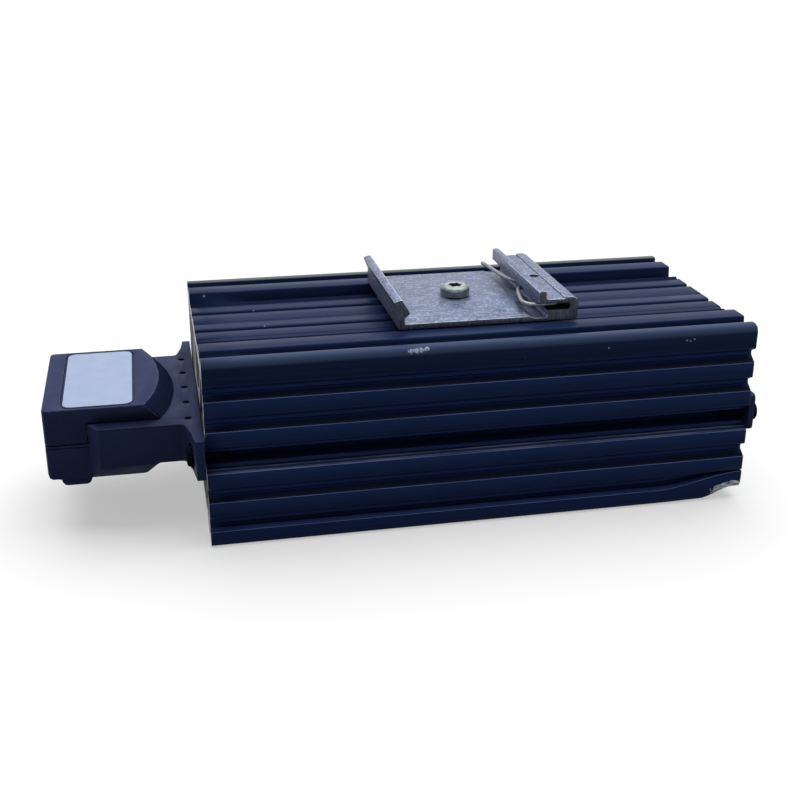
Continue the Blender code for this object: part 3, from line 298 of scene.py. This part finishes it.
def anodised_finish():
    """Blue-black anodising with extrusion lines along X, worn and painted with highlights on its edges and
    torn off where struck, with painted shade and light on its faces, lips and near corner.
    """
    made = Finish("anodised_aluminium_finish", (0.0115, 0.024, 0.076), 0.36,
                  Specular_IOR_Level=0.033, Specular_Tint=(0.5, 0.65, 1.0, 1))
    lines = made.grain((9, 1400, 1400), 4.0, 0.6)
    broad = made.grain((14, 160, 160), 2.0)
    dark = made.blend(made.span(lines, 0.35, 0.7), (0.0095, 0.0195, 0.064), (0.0140, 0.0275, 0.086))
    dusty = made.maths("MULTIPLY", made.between("Y", *DUSTY_REACH), made.between("Z", *DUSTY_LEVELS))
    dust_and_corner_highlight = made.blend(made.maths("MULTIPLY", dusty, 0.85), dark, (0.135, 0.160, 0.160))
    # A painted highlight on the near corner's upper arc and the top of the outer near ridge.
    corner = made.maths("MULTIPLY", made.between("Y", *CORNER_HIGHLIGHT_REACH),
                        made.between("Z", *CORNER_HIGHLIGHT_LEVELS, 0.0004))
    dust_and_corner_highlight = made.blend(corner, dust_and_corner_highlight, (0.0400, 0.0600, 0.1270))
    # Darker, duller bands: painted shade at the score of the near half, and a darker film on the far inner
    # ridge.
    dull = 0.0
    for low, high in DULL_AND_SHADE_BANDS:
        dull = made.maths("MAXIMUM", dull, made.between("Y", low, high, 0.0002))
    dull = made.maths("MULTIPLY", dull, made.between("Z", *DULL_AND_SHADE_LEVELS))
    dulled_and_shaded = made.blend(made.maths("MULTIPLY", dull, 0.75), dust_and_corner_highlight, (0.003, 0.006, 0.020))
    made.specular(made.span(dull, 0.0, 1.0, 0.042, 0.004))
    rub = made.grain((60, 900, 900), 4.0, 0.65)
    # Two painted highlight lines at the near screw slot, broken by the rub noise.
    slot_highlight = 0.0
    for low, high in SLOT_HIGHLIGHT_LINES:
        slot_highlight = made.maths("MAXIMUM", slot_highlight, made.between("Z", low, high, 0.00008))
    slot_highlight = made.maths("MULTIPLY", slot_highlight, made.between("Y", *SLOT_HIGHLIGHT_REACH))
    slot_highlight = made.maths("MULTIPLY", slot_highlight, made.span(rub, 0.38, 0.60, 0.06, 0.38))
    # The rubbed crests are marked only where they face up: wear and a painted highlight.
    edge = made.maths("MULTIPLY", made.attribute("worn"), made.span(rub, 0.38, 0.66))
    chips = 0.0
    for place, radius in CHIPS:
        chips = made.maths("MAXIMUM", chips, made.spot(place, radius))
    ragged = made.span(made.grain(2600, 5.0, 0.7), 0.25, 0.75, -0.7, 0.9)
    chipped = made.span(made.maths("ADD", chips, ragged), 0.72, 0.90)
    chipped = made.maths("MULTIPLY", chipped, made.span(chips, 0.02, 0.10))
    speck = made.maths("MULTIPLY", made.span(made.grain(1100, 2.0), 0.745, 0.765),
                       made.span(made.grain(55, 2.0), 0.62, 0.70))
    marks = made.maths("MAXIMUM", chipped, made.maths("MULTIPLY", speck, 0.4))
    wear_and_highlights = made.maths("MAXIMUM", made.maths("MAXIMUM", made.maths("MULTIPLY", edge, 0.30), slot_highlight), marks)
    shade = made.attribute("shade")
    shaded = made.blend(made.span(shade, 0.0, 1.0), (0.002, 0.005, 0.020), dulled_and_shaded)
    shaded = made.blend(made.span(shade, 1.0, 2.0), shaded, (0.024, 0.054, 0.190))
    # A painted highlight along the upper lips of the side ridges, broken by the rub noise.
    lip = made.maths("MULTIPLY", made.span(made.attribute("lip"), 0.6, 1.0),
                     made.span(rub, 0.3, 0.6, 0.6, 1.0))
    with_painted_light = made.blend(lip, shaded, (0.175, 0.220, 0.430))
    # Painted light: the channel faces near the left end are painted a light grey.
    painted_light_mouth = made.maths("MULTIPLY", made.span(shade, 2.4, 2.6),
                       made.span(made.axis("X"), PROFILE_LEFT + 0.010, PROFILE_LEFT + 0.016, 1.0, 0.0))
    with_painted_light = made.blend(painted_light_mouth, with_painted_light, (0.32, 0.35, 0.32))
    coat = made.blend(wear_and_highlights, with_painted_light, (0.36, 0.42, 0.56))
    drag = made.grain((500, 2600, 2600), 5.0, 0.7, (0, 14, 0))
    bare = made.blend(made.span(drag, 0.36, 0.66), (0.05, 0.052, 0.060), (0.62, 0.64, 0.68))
    frayed = made.span(made.grain(1300, 5.0, 0.7), 0.2, 0.8, -0.5, 0.5)
    torn = made.span(made.maths("ADD", made.attribute("torn"), frayed), 0.44, 0.56)
    made.colour(made.blend(torn, coat, bare))
    made.metallic(made.maths("MULTIPLY", torn, 0.6))
    rough = made.span(broad, 0.3, 0.75, 0.32, 0.42)
    made.roughness(made.maths("MAXIMUM", rough, made.maths("MULTIPLY", torn, 0.55)))
    made.bumps((lines, 0.000008), (made.maths("MULTIPLY", torn, drag), 0.000120))
    return made.material


def sawn_finish():
    """Bare aluminium as the saw left it on the profile's ends."""
    made = Finish("sawn_aluminium_finish", (0.70, 0.75, 0.78), 0.45, 0.2, Specular_IOR_Level=0.2)
    strokes = made.grain((400, 260, 5200), 3.0, 0.6, (6, 0, 0))
    dirt_and_shade = made.span(made.grain(420, 4.0, 0.6), 0.48, 0.74)
    made.colour(made.blend(dirt_and_shade, (0.76, 0.81, 0.85), (0.32, 0.36, 0.38)))
    made.roughness(made.span(strokes, 0.3, 0.7, 0.36, 0.58))
    made.bumps((strokes, 0.000020))
    return made.material


def mill_finish():
    """Mill-finished aluminium, dulled, scratched and dented by use, with bright burrs on its edges."""
    made = Finish("mill_aluminium_finish", (0.16, 0.20, 0.29), 0.44, 0.4, Specular_IOR_Level=0.1)
    cloud = made.grain(330, 5.0, 0.65)
    lines = made.grain((2600, 26, 2600), 3.0, 0.6)
    scratches = [made.span(made.grain((90, 3800, 900), 2.0, 0.5, (0, 0, turn)), 0.68, 0.73)
                 for turn in (24, -37, 71)]
    marks = made.maths("MAXIMUM", made.maths("MAXIMUM", scratches[0], scratches[1]), scratches[2])
    flecks = made.span(made.grain(1300, 4.0, 0.7), 0.53, 0.62)
    dull = made.span(made.grain(1700, 4.0, 0.7), 0.53, 0.66)
    bright = made.maths("MAXIMUM", made.maths("MULTIPLY", marks, 0.9), made.maths("MULTIPLY", flecks, 0.50))
    crest = made.span(made.attribute("worn"), 0.1, 0.6)
    burr = made.maths("MULTIPLY", crest, made.span(made.grain(1500, 3.0), 0.36, 0.50))
    body = made.blend(made.span(cloud, 0.32, 0.66), (0.098, 0.126, 0.215), (0.165, 0.204, 0.316))
    pitted = made.blend(made.maths("MULTIPLY", dull, 0.55), body, (0.060, 0.075, 0.120))
    fleck = made.blend(bright, pitted, (0.52, 0.57, 0.66))
    made.colour(made.blend(burr, fleck, (0.85, 0.88, 0.90)))
    made.roughness(made.span(cloud, 0.3, 0.7, 0.36, 0.50))
    made.bumps((lines, 0.000006), (marks, 0.000012), (made.grain(700, 3.0), 0.000020))
    return made.material


def cut_finish():
    """The clip's cut ends, dull and streaked across their thickness."""
    made = Finish("cut_aluminium_finish", (0.12, 0.145, 0.185), 0.50, 0.3, Specular_IOR_Level=0.1)
    strokes = made.grain((3600, 3600, 420), 4.0, 0.65, (0, 12, 0))
    made.colour(made.blend(made.span(strokes, 0.34, 0.66), (0.046, 0.056, 0.080), (0.118, 0.138, 0.178)))
    made.bumps((strokes, 0.000020))
    return made.material


def recess_shade_finish():
    """Painted shade, near black, in the jaw's slot and in the screw's recess."""
    made = Finish("painted_recess_shade_finish", (0.010, 0.013, 0.016), 0.70, Specular_IOR_Level=0.02)
    cloud = made.grain(1800, 4.0, 0.6)
    made.colour(made.blend(made.span(cloud, 0.3, 0.7), (0.006, 0.008, 0.010), (0.030, 0.038, 0.042)))
    made.bumps((cloud, 0.000030))
    return made.material


def zinc_finish():
    """Zinc plate with the faint olive tone of its passivation."""
    made = Finish("zinc_steel_finish", (0.24, 0.28, 0.29), 0.30, 0.7, Specular_IOR_Level=0.2)
    cloud = made.grain(900, 3.0, 0.6)
    plate = made.blend(made.span(cloud, 0.3, 0.7), (0.150, 0.190, 0.190), (0.225, 0.270, 0.275))
    rub = made.maths("MULTIPLY", made.attribute("worn"), made.span(made.grain(3000, 3.0), 0.3, 0.6))
    made.colour(made.blend(made.maths("MULTIPLY", rub, 0.8), plate, (0.55, 0.58, 0.60)))
    made.roughness(made.span(cloud, 0.3, 0.7, 0.24, 0.38))
    made.bumps((made.grain(5200, 2.0), 0.000004))
    return made.material


def spring_finish():
    """Drawn spring wire and strip."""
    made = Finish("spring_steel_finish", (0.28, 0.30, 0.32), 0.34, 0.7, Specular_IOR_Level=0.2)
    cloud = made.grain(1300, 3.0, 0.6)
    made.colour(made.blend(made.span(cloud, 0.3, 0.7), (0.20, 0.215, 0.24), (0.34, 0.36, 0.38)))
    made.roughness(made.span(cloud, 0.3, 0.7, 0.28, 0.44))
    made.bumps((made.grain(3000, 2.0), 0.000005))
    return made.material


def housing_finish():
    """Fine-grained matt black moulding with rubbed edges and dust, darker where it lies in shade."""
    made = Finish("black_plastic_finish", (0.021, 0.033, 0.090), 0.50, Specular_IOR_Level=0.05)
    cloud = made.grain(170, 4.0, 0.6)
    fine = made.grain(5200, 2.0)
    body = made.blend(made.span(cloud, 0.3, 0.7), (0.0185, 0.030, 0.083), (0.022, 0.034, 0.092))
    shade = made.attribute("shade")
    shaded = made.blend(made.span(shade, 0.0, 1.0), (0.002, 0.003, 0.009), body)
    rub = made.span(made.grain((500, 900, 900), 4.0, 0.65), 0.36, 0.64)
    edge = made.maths("MULTIPLY", made.attribute("worn"), rub)
    dust = made.span(made.grain(2400, 2.0), 0.70, 0.74)
    pale = made.maths("MAXIMUM", made.maths("MULTIPLY", edge, 0.55), made.maths("MULTIPLY", dust, 0.3))
    ledge = made.maths("MULTIPLY", made.between("Y", *LEDGE_REACH), made.span(made.axis("X"), *LEDGE_START))
    ledge = made.maths("MULTIPLY", ledge, made.span(made.axis("X"), *LEDGE_END, 0.62, 0.0))
    ledge = made.maths("MULTIPLY", ledge, made.maths("MULTIPLY", made.span(made.axis("Z"), *LEDGE_FOOT),
                                                     made.span(made.axis("Z"), *LEDGE_HEAD, 1.0, 0.0)))
    shaded = made.blend(ledge, shaded, (0.002, 0.003, 0.009))
    made.colour(made.blend(pale, shaded, (0.13, 0.155, 0.24)))
    made.specular(made.span(shade, 0.5, 1.0, 0.0, 0.05))
    made.roughness(made.span(cloud, 0.3, 0.7, 0.44, 0.56))
    made.bumps((fine, 0.000012), (made.grain(900, 2.0), 0.000010))
    return made.material


def label_finish():
    """Bare white film with a satin face."""
    made = Finish("label_white_finish", (0.37, 0.45, 0.64), 0.40, Specular_IOR_Level=0.06)
    cloud = made.grain(240, 3.0)
    made.colour(made.blend(made.span(cloud, 0.3, 0.7), (0.36, 0.435, 0.62), (0.39, 0.465, 0.655)))
    made.bumps((made.grain(1200, 2.0), 0.000006))
    return made.material


def black_steel_finish():
    """Steel screws blackened with a matt oxide."""
    made = Finish("black_steel_finish", (0.006, 0.009, 0.020), 0.55, Specular_IOR_Level=0.0)
    cloud = made.grain(1400, 3.0, 0.6)
    made.colour(made.blend(made.span(cloud, 0.3, 0.7), (0.004, 0.006, 0.014), (0.009, 0.013, 0.028)))
    made.bumps((made.grain(5000, 2.0), 0.000006))
    return made.material


def plain_finish(name, colour, roughness, depth, scale):
    """A moulded, sintered or drawn surface that only shows through an opening."""
    made = Finish(name, colour, roughness)
    cloud = made.grain(scale / 4, 3.0)
    darker = tuple(0.8 * value for value in colour)
    made.colour(made.blend(made.span(cloud, 0.3, 0.7), darker, colour))
    made.bumps((made.grain(scale, 2.0), depth))
    return made.material


FINISHES = {
    "anodised_aluminium": anodised_finish(),
    "mill_aluminium": mill_finish(),
    "zinc_steel": zinc_finish(),
    "spring_steel": spring_finish(),
    "black_steel": black_steel_finish(),
    "black_plastic": housing_finish(),
    "label_white": label_finish(),
    "grey_plastic": plain_finish("grey_plastic_finish", (0.30, 0.31, 0.32), 0.5, 0.00001, 4000),
    "ptc_ceramic": plain_finish("ptc_ceramic_finish", (0.10, 0.09, 0.085), 0.7, 0.00001, 6000),
    "polyimide_film": plain_finish("polyimide_film_finish", (0.45, 0.22, 0.05), 0.3, 0.000004, 1500),
    "lead_brown": plain_finish("lead_brown_finish", (0.16, 0.06, 0.03), 0.55, 0.000006, 3000),
    "lead_blue": plain_finish("lead_blue_finish", (0.03, 0.10, 0.35), 0.55, 0.000006, 3000),
    "lead_green": plain_finish("lead_green_finish", (0.05, 0.25, 0.06), 0.55, 0.000006, 3000),
}


def put(name, body, slot, *finishes, sharp=40, stands_for=()):
    """Makes a finished piece of a bmesh, riding on the root and standing for its CAD nodes."""
    mesh = bpy.data.meshes.new(name)
    body.to_mesh(mesh)
    body.free()
    mesh.shade_smooth()
    mesh.set_sharp_from_angle(angle=math.radians(sharp))
    piece = bpy.data.objects.new(name, mesh)
    bpy.context.scene.collection.objects.link(piece)
    for finish in finishes or (FINISHES[slot],):
        mesh.materials.append(finish)
    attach(piece, "root")
    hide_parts(*stands_for)
    return piece


def copied(node):
    """A merged copy of a CAD node's mesh, with its flat faces made whole."""
    body = bmesh.new()
    body.from_mesh(NODES[node].data)
    bmesh.ops.remove_doubles(body, verts=body.verts, dist=MERGE)
    bmesh.ops.dissolve_limit(body, angle_limit=math.radians(0.5), verts=body.verts, edges=body.edges)
    return body


def round_edges(body, width, segments=2, sharper_than=30, choose=lambda edge: True, worn=lambda vert: 1.0):
    """Rounds the convex edges that are sharper than an angle, and marks the crest of each as worn."""
    limit = math.radians(sharper_than)
    layer = body.verts.layers.float.get("worn") or body.verts.layers.float.new("worn")
    sharp = [edge for edge in body.edges
             if edge.is_manifold and edge.calc_face_angle_signed() > limit and choose(edge)]
    made = bmesh.ops.bevel(body, geom=sharp, offset=width, offset_type="OFFSET", affect="EDGES",
                           segments=segments, profile=0.5, material=-1, clamp_overlap=True)
    rounds = set(made["faces"])
    for vert in made["verts"]:
        if all(face in rounds for face in vert.link_faces):
            vert[layer] = worn(vert)
    return made["verts"]


def section_of(node, axis):
    """The flat end face at a node's low end on an axis, merged, as the section of its extrusion."""
    body = bmesh.new()
    body.from_mesh(NODES[node].data)
    bmesh.ops.remove_doubles(body, verts=body.verts, dist=MERGE)
    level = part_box(node)[0][axis]
    others = [face for face in body.faces
              if face.normal[axis] > -0.9 or abs(face.calc_center_median()[axis] - level) > MERGE]
    bmesh.ops.delete(body, geom=others, context="FACES")
    return body


def drawn_out(body, axis, stations):
    """Extrudes a section along an axis through the stations, and closes its other end."""
    start = stations[0]
    cap = list(body.faces)
    edges = [edge for edge in body.edges if edge.is_boundary]
    far = bmesh.ops.duplicate(body, geom=cap)["geom"]
    far_faces = [item for item in far if isinstance(item, bmesh.types.BMFace)]
    far_verts = [item for item in far if isinstance(item, bmesh.types.BMVert)]
    step = Vector((0, 0, 0))
    step[axis] = stations[-1] - start
    bmesh.ops.translate(body, verts=far_verts, vec=step)
    bmesh.ops.reverse_faces(body, faces=far_faces)
    for before, after in zip(stations, stations[1:]):
        grown = bmesh.ops.extrude_edge_only(body, edges=edges)["geom"]
        edges = [item for item in grown if isinstance(item, bmesh.types.BMEdge)]
        step[axis] = after - before
        bmesh.ops.translate(body, verts=[item for item in grown if isinstance(item, bmesh.types.BMVert)],
                            vec=step)
    bmesh.ops.remove_doubles(body, verts=body.verts, dist=MERGE)
    return body


def crush(place):
    """How far a point of the straight profile was lifted when its lowest near ridge was bent upwards."""
    inwards = smooth((PROFILE_NEAR + CRUSH_WIDTH - place.y) / (CRUSH_WIDTH * 0.8))
    top = CRUSH_LIFT * smooth((place.x - PROFILE_RIGHT + CRUSH_LENGTH) / CRUSH_LENGTH)
    low = CRUSH_LOW_LIFT * smooth((place.x - PROFILE_RIGHT + CRUSH_LOW_START) / CRUSH_LOW_LENGTH)
    if place.z < CRUSH_RIDGE:
        return inwards * (low + (top - low) * max(place.z, 0) / CRUSH_RIDGE)
    return inwards * top * max(CRUSH_HEIGHT - place.z, 0) / (CRUSH_HEIGHT - CRUSH_RIDGE)


def scraped(place):
    """How deep in the bare, scraped patch of the struck corner a point lies, from 0 to 1."""
    along = (place.x - PROFILE_RIGHT + SCRAPE_LENGTH) / (0.35 * SCRAPE_LENGTH)
    upwards = 1.0 - (place.z - SCRAPE_HEIGHT) / (0.25 * SCRAPE_HEIGHT)
    near = (PROFILE_NEAR + 0.4 * CRUSH_WIDTH - place.y) / (0.2 * CRUSH_WIDTH)
    return min(max(min(along, upwards, near), 0), 1)


def shade_faces(body, share):
    """Stores how light each face looks on its corners: one value, or one each for its foot and its head."""
    layer = body.loops.layers.float.new("shade")
    for face in body.faces:
        value = share(face)
        low, high = value if isinstance(value, tuple) else (value, value)
        middle = face.calc_center_median().z
        for loop in face.loops:
            loop[layer] = high if loop.vert.co.z > middle else low


def groove_shade(face):
    """How light a face of the profile looks, by which side of a side groove it is."""
    centre = face.calc_center_median()
    inset = min(centre.y - PROFILE_NEAR, -PROFILE_NEAR - centre.y)
    beyond = inset > GROOVE_DEPTH + GROOVE_MARGIN or centre.z > TOP_LEVEL - TOP_RIDGE
    if beyond or abs(face.normal.x) > 0.9:
        return 1.0
    if inset < RIDGE_INSET:
        return SIDE_SHADE
    if face.normal.z > 0.3:
        return GROOVE_LOWER
    if face.normal.z < -0.5:
        return GROOVE_UPPER
    return GROOVE_FLOOR if inset > GROOVE_DEPTH - GROOVE_MARGIN else SIDE_SHADE


def channel_faces(body):
    """The faces inside the profile's channels: those that its outer skin doesn't reach."""
    walls = {face for face in body.faces if abs(face.normal.x) < 0.9}
    found = [min(walls, key=lambda face: face.calc_center_median().y)]
    walls.remove(found[0])
    while found:
        face = found.pop()
        for edge in face.edges:
            for other in edge.link_faces:
                if other in walls:
                    walls.remove(other)
                    found.append(other)
    return walls


def lip_edge(edge):
    """Whether an edge is the upper lip of a ridge on one of the two sides."""
    first, last = (vert.co for vert in edge.verts)
    tilt = sum(face.normal.z for face in edge.link_faces) / 2
    outer = min(abs(first.y), abs(last.y)) > -PROFILE_NEAR - LIP_INSET
    return abs(last.x - first.x) > MERGE and 0.25 < tilt < 0.85 and outer and first.z < TOP_LEVEL - TOP_RIDGE


def round_lips(body):
    """Rounds the upper lips of the side ridges more than the other edges, and marks them for a painted
    highlight.
    """
    layer = body.verts.layers.float.new("lip")
    for vert in round_edges(body, LIP_WIDTH, 3, 20, lip_edge, lambda vert: 0.0):
        vert[layer] = 1.0


def along_profile(edge):
    """Whether an edge runs along the profile."""
    return abs(edge.verts[0].co.x - edge.verts[1].co.x) > MERGE


def make_profile():
    """The extrusion, drawn out of its own section, with its sawn ends and its crushed corner."""
    plain_end = PROFILE_RIGHT - CRUSH_LENGTH
    stations = [PROFILE_LEFT + (plain_end - PROFILE_LEFT) * step / PLAIN_STATIONS
                for step in range(PLAIN_STATIONS)]
    stations += [plain_end + CRUSH_LENGTH * step / CRUSH_STATIONS for step in range(CRUSH_STATIONS + 1)]
    section = section_of("heatsink_profile", 0)
    for row in range(1, round(CRUSH_HEIGHT / CRUSH_ROWS)):
        bmesh.ops.bisect_plane(section, geom=section.verts[:] + section.edges[:] + section.faces[:],
                               plane_co=(0, 0, row * CRUSH_ROWS), plane_no=(0, 0, 1), dist=MERGE)
    for column in range(1, round(CRUSH_WIDTH / CRUSH_COLUMNS) + 2):
        low = [face for face in section.faces if all(vert.co.z < CRUSH_HEIGHT for vert in face.verts)]
        geometry = {item for face in low for item in (face, *face.edges, *face.verts)}
        bmesh.ops.bisect_plane(section, geom=list(geometry), plane_no=(0, 1, 0), dist=MERGE,
                               plane_co=(0, PROFILE_NEAR + column * CRUSH_COLUMNS, 0))
    body = drawn_out(section, 0, stations)
    body.normal_update()
    round_lips(body)
    body.normal_update()
    # Only crests that face up are marked worn, for wear and a painted highlight on them.
    round_edges(body, EDGE_WIDTH, 2, EDGE_TURN, along_profile, lambda vert: float(vert.normal.z > 0.2))
    body.normal_update()
    inner = channel_faces(body)
    shade_faces(body, lambda face: CHANNEL_SHADE if face in inner else groove_shade(face))
    for face in body.faces:
        if abs(face.normal.x) > 0.9:
            face.material_index = 1
    torn = body.verts.layers.float.new("torn")
    for vert in body.verts:
        share = scraped(vert.co)
        rough = noise.noise_vector(vert.co * 1400) * CRUSH_ROUGHNESS
        vert[torn] = share
        lift = crush(vert.co)
        vert.co.z += lift
        vert.co += Vector((0, rough.y, rough.z)) * max(share, 0.4 * lift / CRUSH_LIFT)
    return put("anodised_profile", body, "anodised_aluminium", FINISHES["anodised_aluminium"],
               sawn_finish(), sharp=50, stands_for=["heatsink_profile"])


def housing_shade(face):
    """How light a face of the housing looks: less on its slopes and underneath."""
    if face.normal.z < -0.2:
        return UNDER_SHADE
    return SLOPE_SHADE if 0.25 < face.normal.z < 0.9 and face.normal.x > 0.3 else 1.0


def make_housing():
    """The two shells of the terminal housing and the end cap, with rounded edges."""
    for name, node, width in (("terminal_housing", "housing_base", 0.00035),
                              ("terminal_cover", "housing_cover", 0.00030),
                              ("cap_bar", "end_cap", 0.00030)):
        body = copied(node)
        round_edges(body, width)
        body.normal_update()
        shade_faces(body, housing_shade)
        put(name, body, "black_plastic", sharp=30, stands_for=[node])


def make_clip():
    """The rail clip with its burred edges and cut ends, and the wire spring."""
    body = copied("rail_clip")
    low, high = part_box("rail_clip")
    round_edges(body, 0.00018, worn=lambda vert: 1.0 if vert.co.y < low.y + 0.001 else 0.25)
    slot = low.z + SLOT_LEVEL
    for face in body.faces:
        centre = face.calc_center_median()
        if abs(face.normal.y) > 0.9:
            face.material_index = 1
        # The faces of the jaw's slot take the painted shade.
        elif centre.x > high.x - SLOT_REACH and abs(centre.z - slot) < SLOT_HALF + MERGE:
            face.material_index = 2
    put("mill_clip", body, "mill_aluminium", FINISHES["mill_aluminium"], cut_finish(), recess_shade_finish(),
        sharp=30, stands_for=["rail_clip"])
    wire = bmesh.new()
    wire.from_mesh(NODES["clip_spring"].data)
    bmesh.ops.remove_doubles(wire, verts=wire.verts, dist=MERGE)
    bmesh.ops.join_triangles(wire, faces=wire.faces, angle_face_threshold=math.radians(40),
                             angle_shape_threshold=math.radians(60))
    wire.normal_update()
    for vert in wire.verts:
        vert.co += vert.normal * SPRING_SWELL
    piece = put("clip_wire", wire, "spring_steel", sharp=180, stands_for=["clip_spring"])
    rounder = piece.modifiers.new("rounder", "SUBSURF")
    rounder.levels = 2
    rounder.render_levels = 2


def head_profile(width, height, recess, deep):
    """A pan head's half section from the middle of its recess to its seat, as (radius, height)."""
    points = [(0, height - deep), (0.78 * recess, height - deep), (recess, height - 0.00014),
              (recess + 0.00014, height), (0.33 * width, height)]
    shoulder = height * 0.40
    for step in range(1, 9):
        turn = math.pi / 2 * step / 8
        points.append((0.33 * width + 0.17 * width * math.sin(turn),
                       height - shoulder + shoulder * math.cos(turn)))
    return points + [(0.5 * width, 0.00012), (0.488 * width, 0)]


def make_screws():
    """The clip's zinc-plated screw and the four blackened ones in the ends of the side slots."""
    heads = [("clip_screw", "zinc_steel", 2, 1, CLIP_HEAD_HEIGHT, LOBE_DEPTH)]
    heads += [(f"housing_screw_{side}", "black_steel", 0, -1, END_HEAD_HEIGHT, 0) for side in ("near", "far")]
    heads += [(f"cap_screw_{side}", "black_steel", 0, 1, END_HEAD_HEIGHT, 0) for side in ("near", "far")]
    dirt_and_shade = recess_shade_finish()
    for node, slot, axis, points, height, lobes in heads:
        low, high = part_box(node)
        width = high.y - low.y
        length = high[axis] - low[axis] - height
        shank = CLIP_SHANK if axis == 2 else END_SHANK
        recess = RECESS_SHARE * width
        profile = head_profile(width, height, recess, RECESS_DEPTH if axis == 2 else 0.6 * height)
        profile += [(shank, 0), (shank, shank * 0.7 - length), (shank * 0.5, -length), (0, -length)]
        body = bmesh.new()
        verts = [body.verts.new((radius, 0, z)) for radius, z in profile]
        edges = [body.edges.new(pair) for pair in zip(verts, verts[1:])]
        bmesh.ops.spin(body, geom=verts + edges, axis=(0, 0, 1), cent=(0, 0, 0), angle=2 * math.pi,
                       steps=72, use_merge=True, use_duplicate=False)
        bmesh.ops.remove_doubles(body, verts=body.verts, dist=MERGE)
        bmesh.ops.recalc_face_normals(body, faces=body.faces)
        worn = body.verts.layers.float.new("worn")
        for vert in body.verts:
            reach = vert.co.xy.length
            if vert.co.z > height - 0.00010 and reach < 0.36 * width:
                vert[worn] = 1.0
            if MERGE < reach < recess + 0.0002 and vert.co.z > 0:
                share = 1 - lobes + lobes * math.cos(6 * math.atan2(vert.co.y, vert.co.x))
                vert.co.x *= share
                vert.co.y *= share
        # The faces inside the recess take the painted shade.
        for face in body.faces:
            centre = face.calc_center_median()
            if 0 < centre.z < height - 0.0003 and centre.xy.length < recess:
                face.material_index = 1
        middle = (low + high) / 2
        middle[axis] = (high[axis] - height) if points > 0 else (low[axis] + height)
        turn = Matrix.Rotation(points * math.pi / 2, 4, "Y") if axis == 0 else Matrix.Identity(4)
        body.transform(Matrix.Translation(middle) @ turn)
        put(f"{node}_head", body, slot, FINISHES[slot], dirt_and_shade, stands_for=[node])


def dress_nodes():
    """Gives each CAD node that still shows the finish of its own slot."""
    slots = {part["node"]: part["material_slot"] for part in frame["record"]["subparts"]}
    for name, node in NODES.items():
        if not node.hide_render:
            node.data.materials.clear()
            node.data.materials.append(FINISHES[slots[name]])


def make_camera():
    """The photograph's camera."""
    data = bpy.data.cameras.new("camera")
    data.lens = CAMERA_LENS
    data.sensor_width = SENSOR_WIDTH
    data.clip_start = 0.01
    data.clip_end = 2 * FLOOR_RADIUS
    camera = bpy.data.objects.new("camera", data)
    turn = (Matrix.Rotation(math.radians(-CAMERA_HEADING), 4, "Z")
            @ Matrix.Rotation(math.radians(90 - CAMERA_DIP), 4, "X")
            @ Matrix.Rotation(math.radians(CAMERA_ROLL), 4, "Z"))
    camera.matrix_world = Matrix.Translation(CAMERA_PLACE) @ turn
    bpy.context.scene.collection.objects.link(camera)
    bpy.context.scene.camera = camera


def seen(tree):
    """1 for rays that show the background: those of the camera, of reflections and through glass."""
    path = tree.nodes.new("ShaderNodeLightPath")
    total = path.outputs["Is Camera Ray"]
    for name in ("Is Glossy Ray", "Is Transmission Ray"):
        made = tree.nodes.new("ShaderNodeMath")
        made.operation = "MAXIMUM"
        tree.links.new(total, made.inputs[0])
        tree.links.new(path.outputs[name], made.inputs[1])
        total = made.outputs["Value"]
    return total


def make_studio():
    """A white floor and backdrop, a broad lamp overhead and a dim room."""
    world = bpy.data.worlds.new("room")
    bpy.context.scene.world = world
    world.use_nodes = True
    tree = world.node_tree
    light = tree.nodes["Background"]
    strength = tree.nodes.new("ShaderNodeMapRange")
    strength.inputs["To Min"].default_value = ROOM_LIGHT
    strength.inputs["To Max"].default_value = 1.0
    tree.links.new(seen(tree), strength.inputs["Value"])
    tree.links.new(strength.outputs["Result"], light.inputs["Strength"])
    light.inputs["Color"].default_value = (1, 1, 1, 1)

    body = bmesh.new()
    bmesh.ops.create_circle(body, cap_ends=True, segments=64, radius=FLOOR_RADIUS)
    mesh = bpy.data.meshes.new("floor")
    body.to_mesh(mesh)
    body.free()
    floor = bpy.data.objects.new("floor", mesh)
    bpy.context.scene.collection.objects.link(floor)
    white = bpy.data.materials.new("white_floor")
    white.use_nodes = True
    tree = white.node_tree
    shader = tree.nodes["Principled BSDF"]
    shader.inputs["Roughness"].default_value = 1.0
    shader.inputs["Specular IOR Level"].default_value = 0.0
    visible = seen(tree)
    for socket, plain, watched in (("Base Color", FLOOR_BOUNCE, 1 - FLOOR_GLOW),
                                   ("Emission Strength", 0.0, FLOOR_GLOW)):
        shade = tree.nodes.new("ShaderNodeMapRange")
        shade.inputs["To Min"].default_value = plain
        shade.inputs["To Max"].default_value = watched
        tree.links.new(visible, shade.inputs["Value"])
        tree.links.new(shade.outputs["Result"], shader.inputs[socket])
    shader.inputs["Emission Color"].default_value = (1, 1, 1, 1)
    mesh.materials.append(white)

    lamp = bpy.data.lights.new("sky", "SUN")
    lamp.energy = SKY_STRENGTH
    lamp.angle = math.radians(SKY_SPREAD)
    sky = bpy.data.objects.new("sky", lamp)
    sky.rotation_euler = [math.radians(angle) for angle in (*SKY_TILT, 0)]
    bpy.context.scene.collection.objects.link(sky)


make_profile()
make_housing()
make_clip()
make_screws()
dress_nodes()
make_camera()
make_studio()
bpy.context.scene.view_settings.view_transform = "Standard"
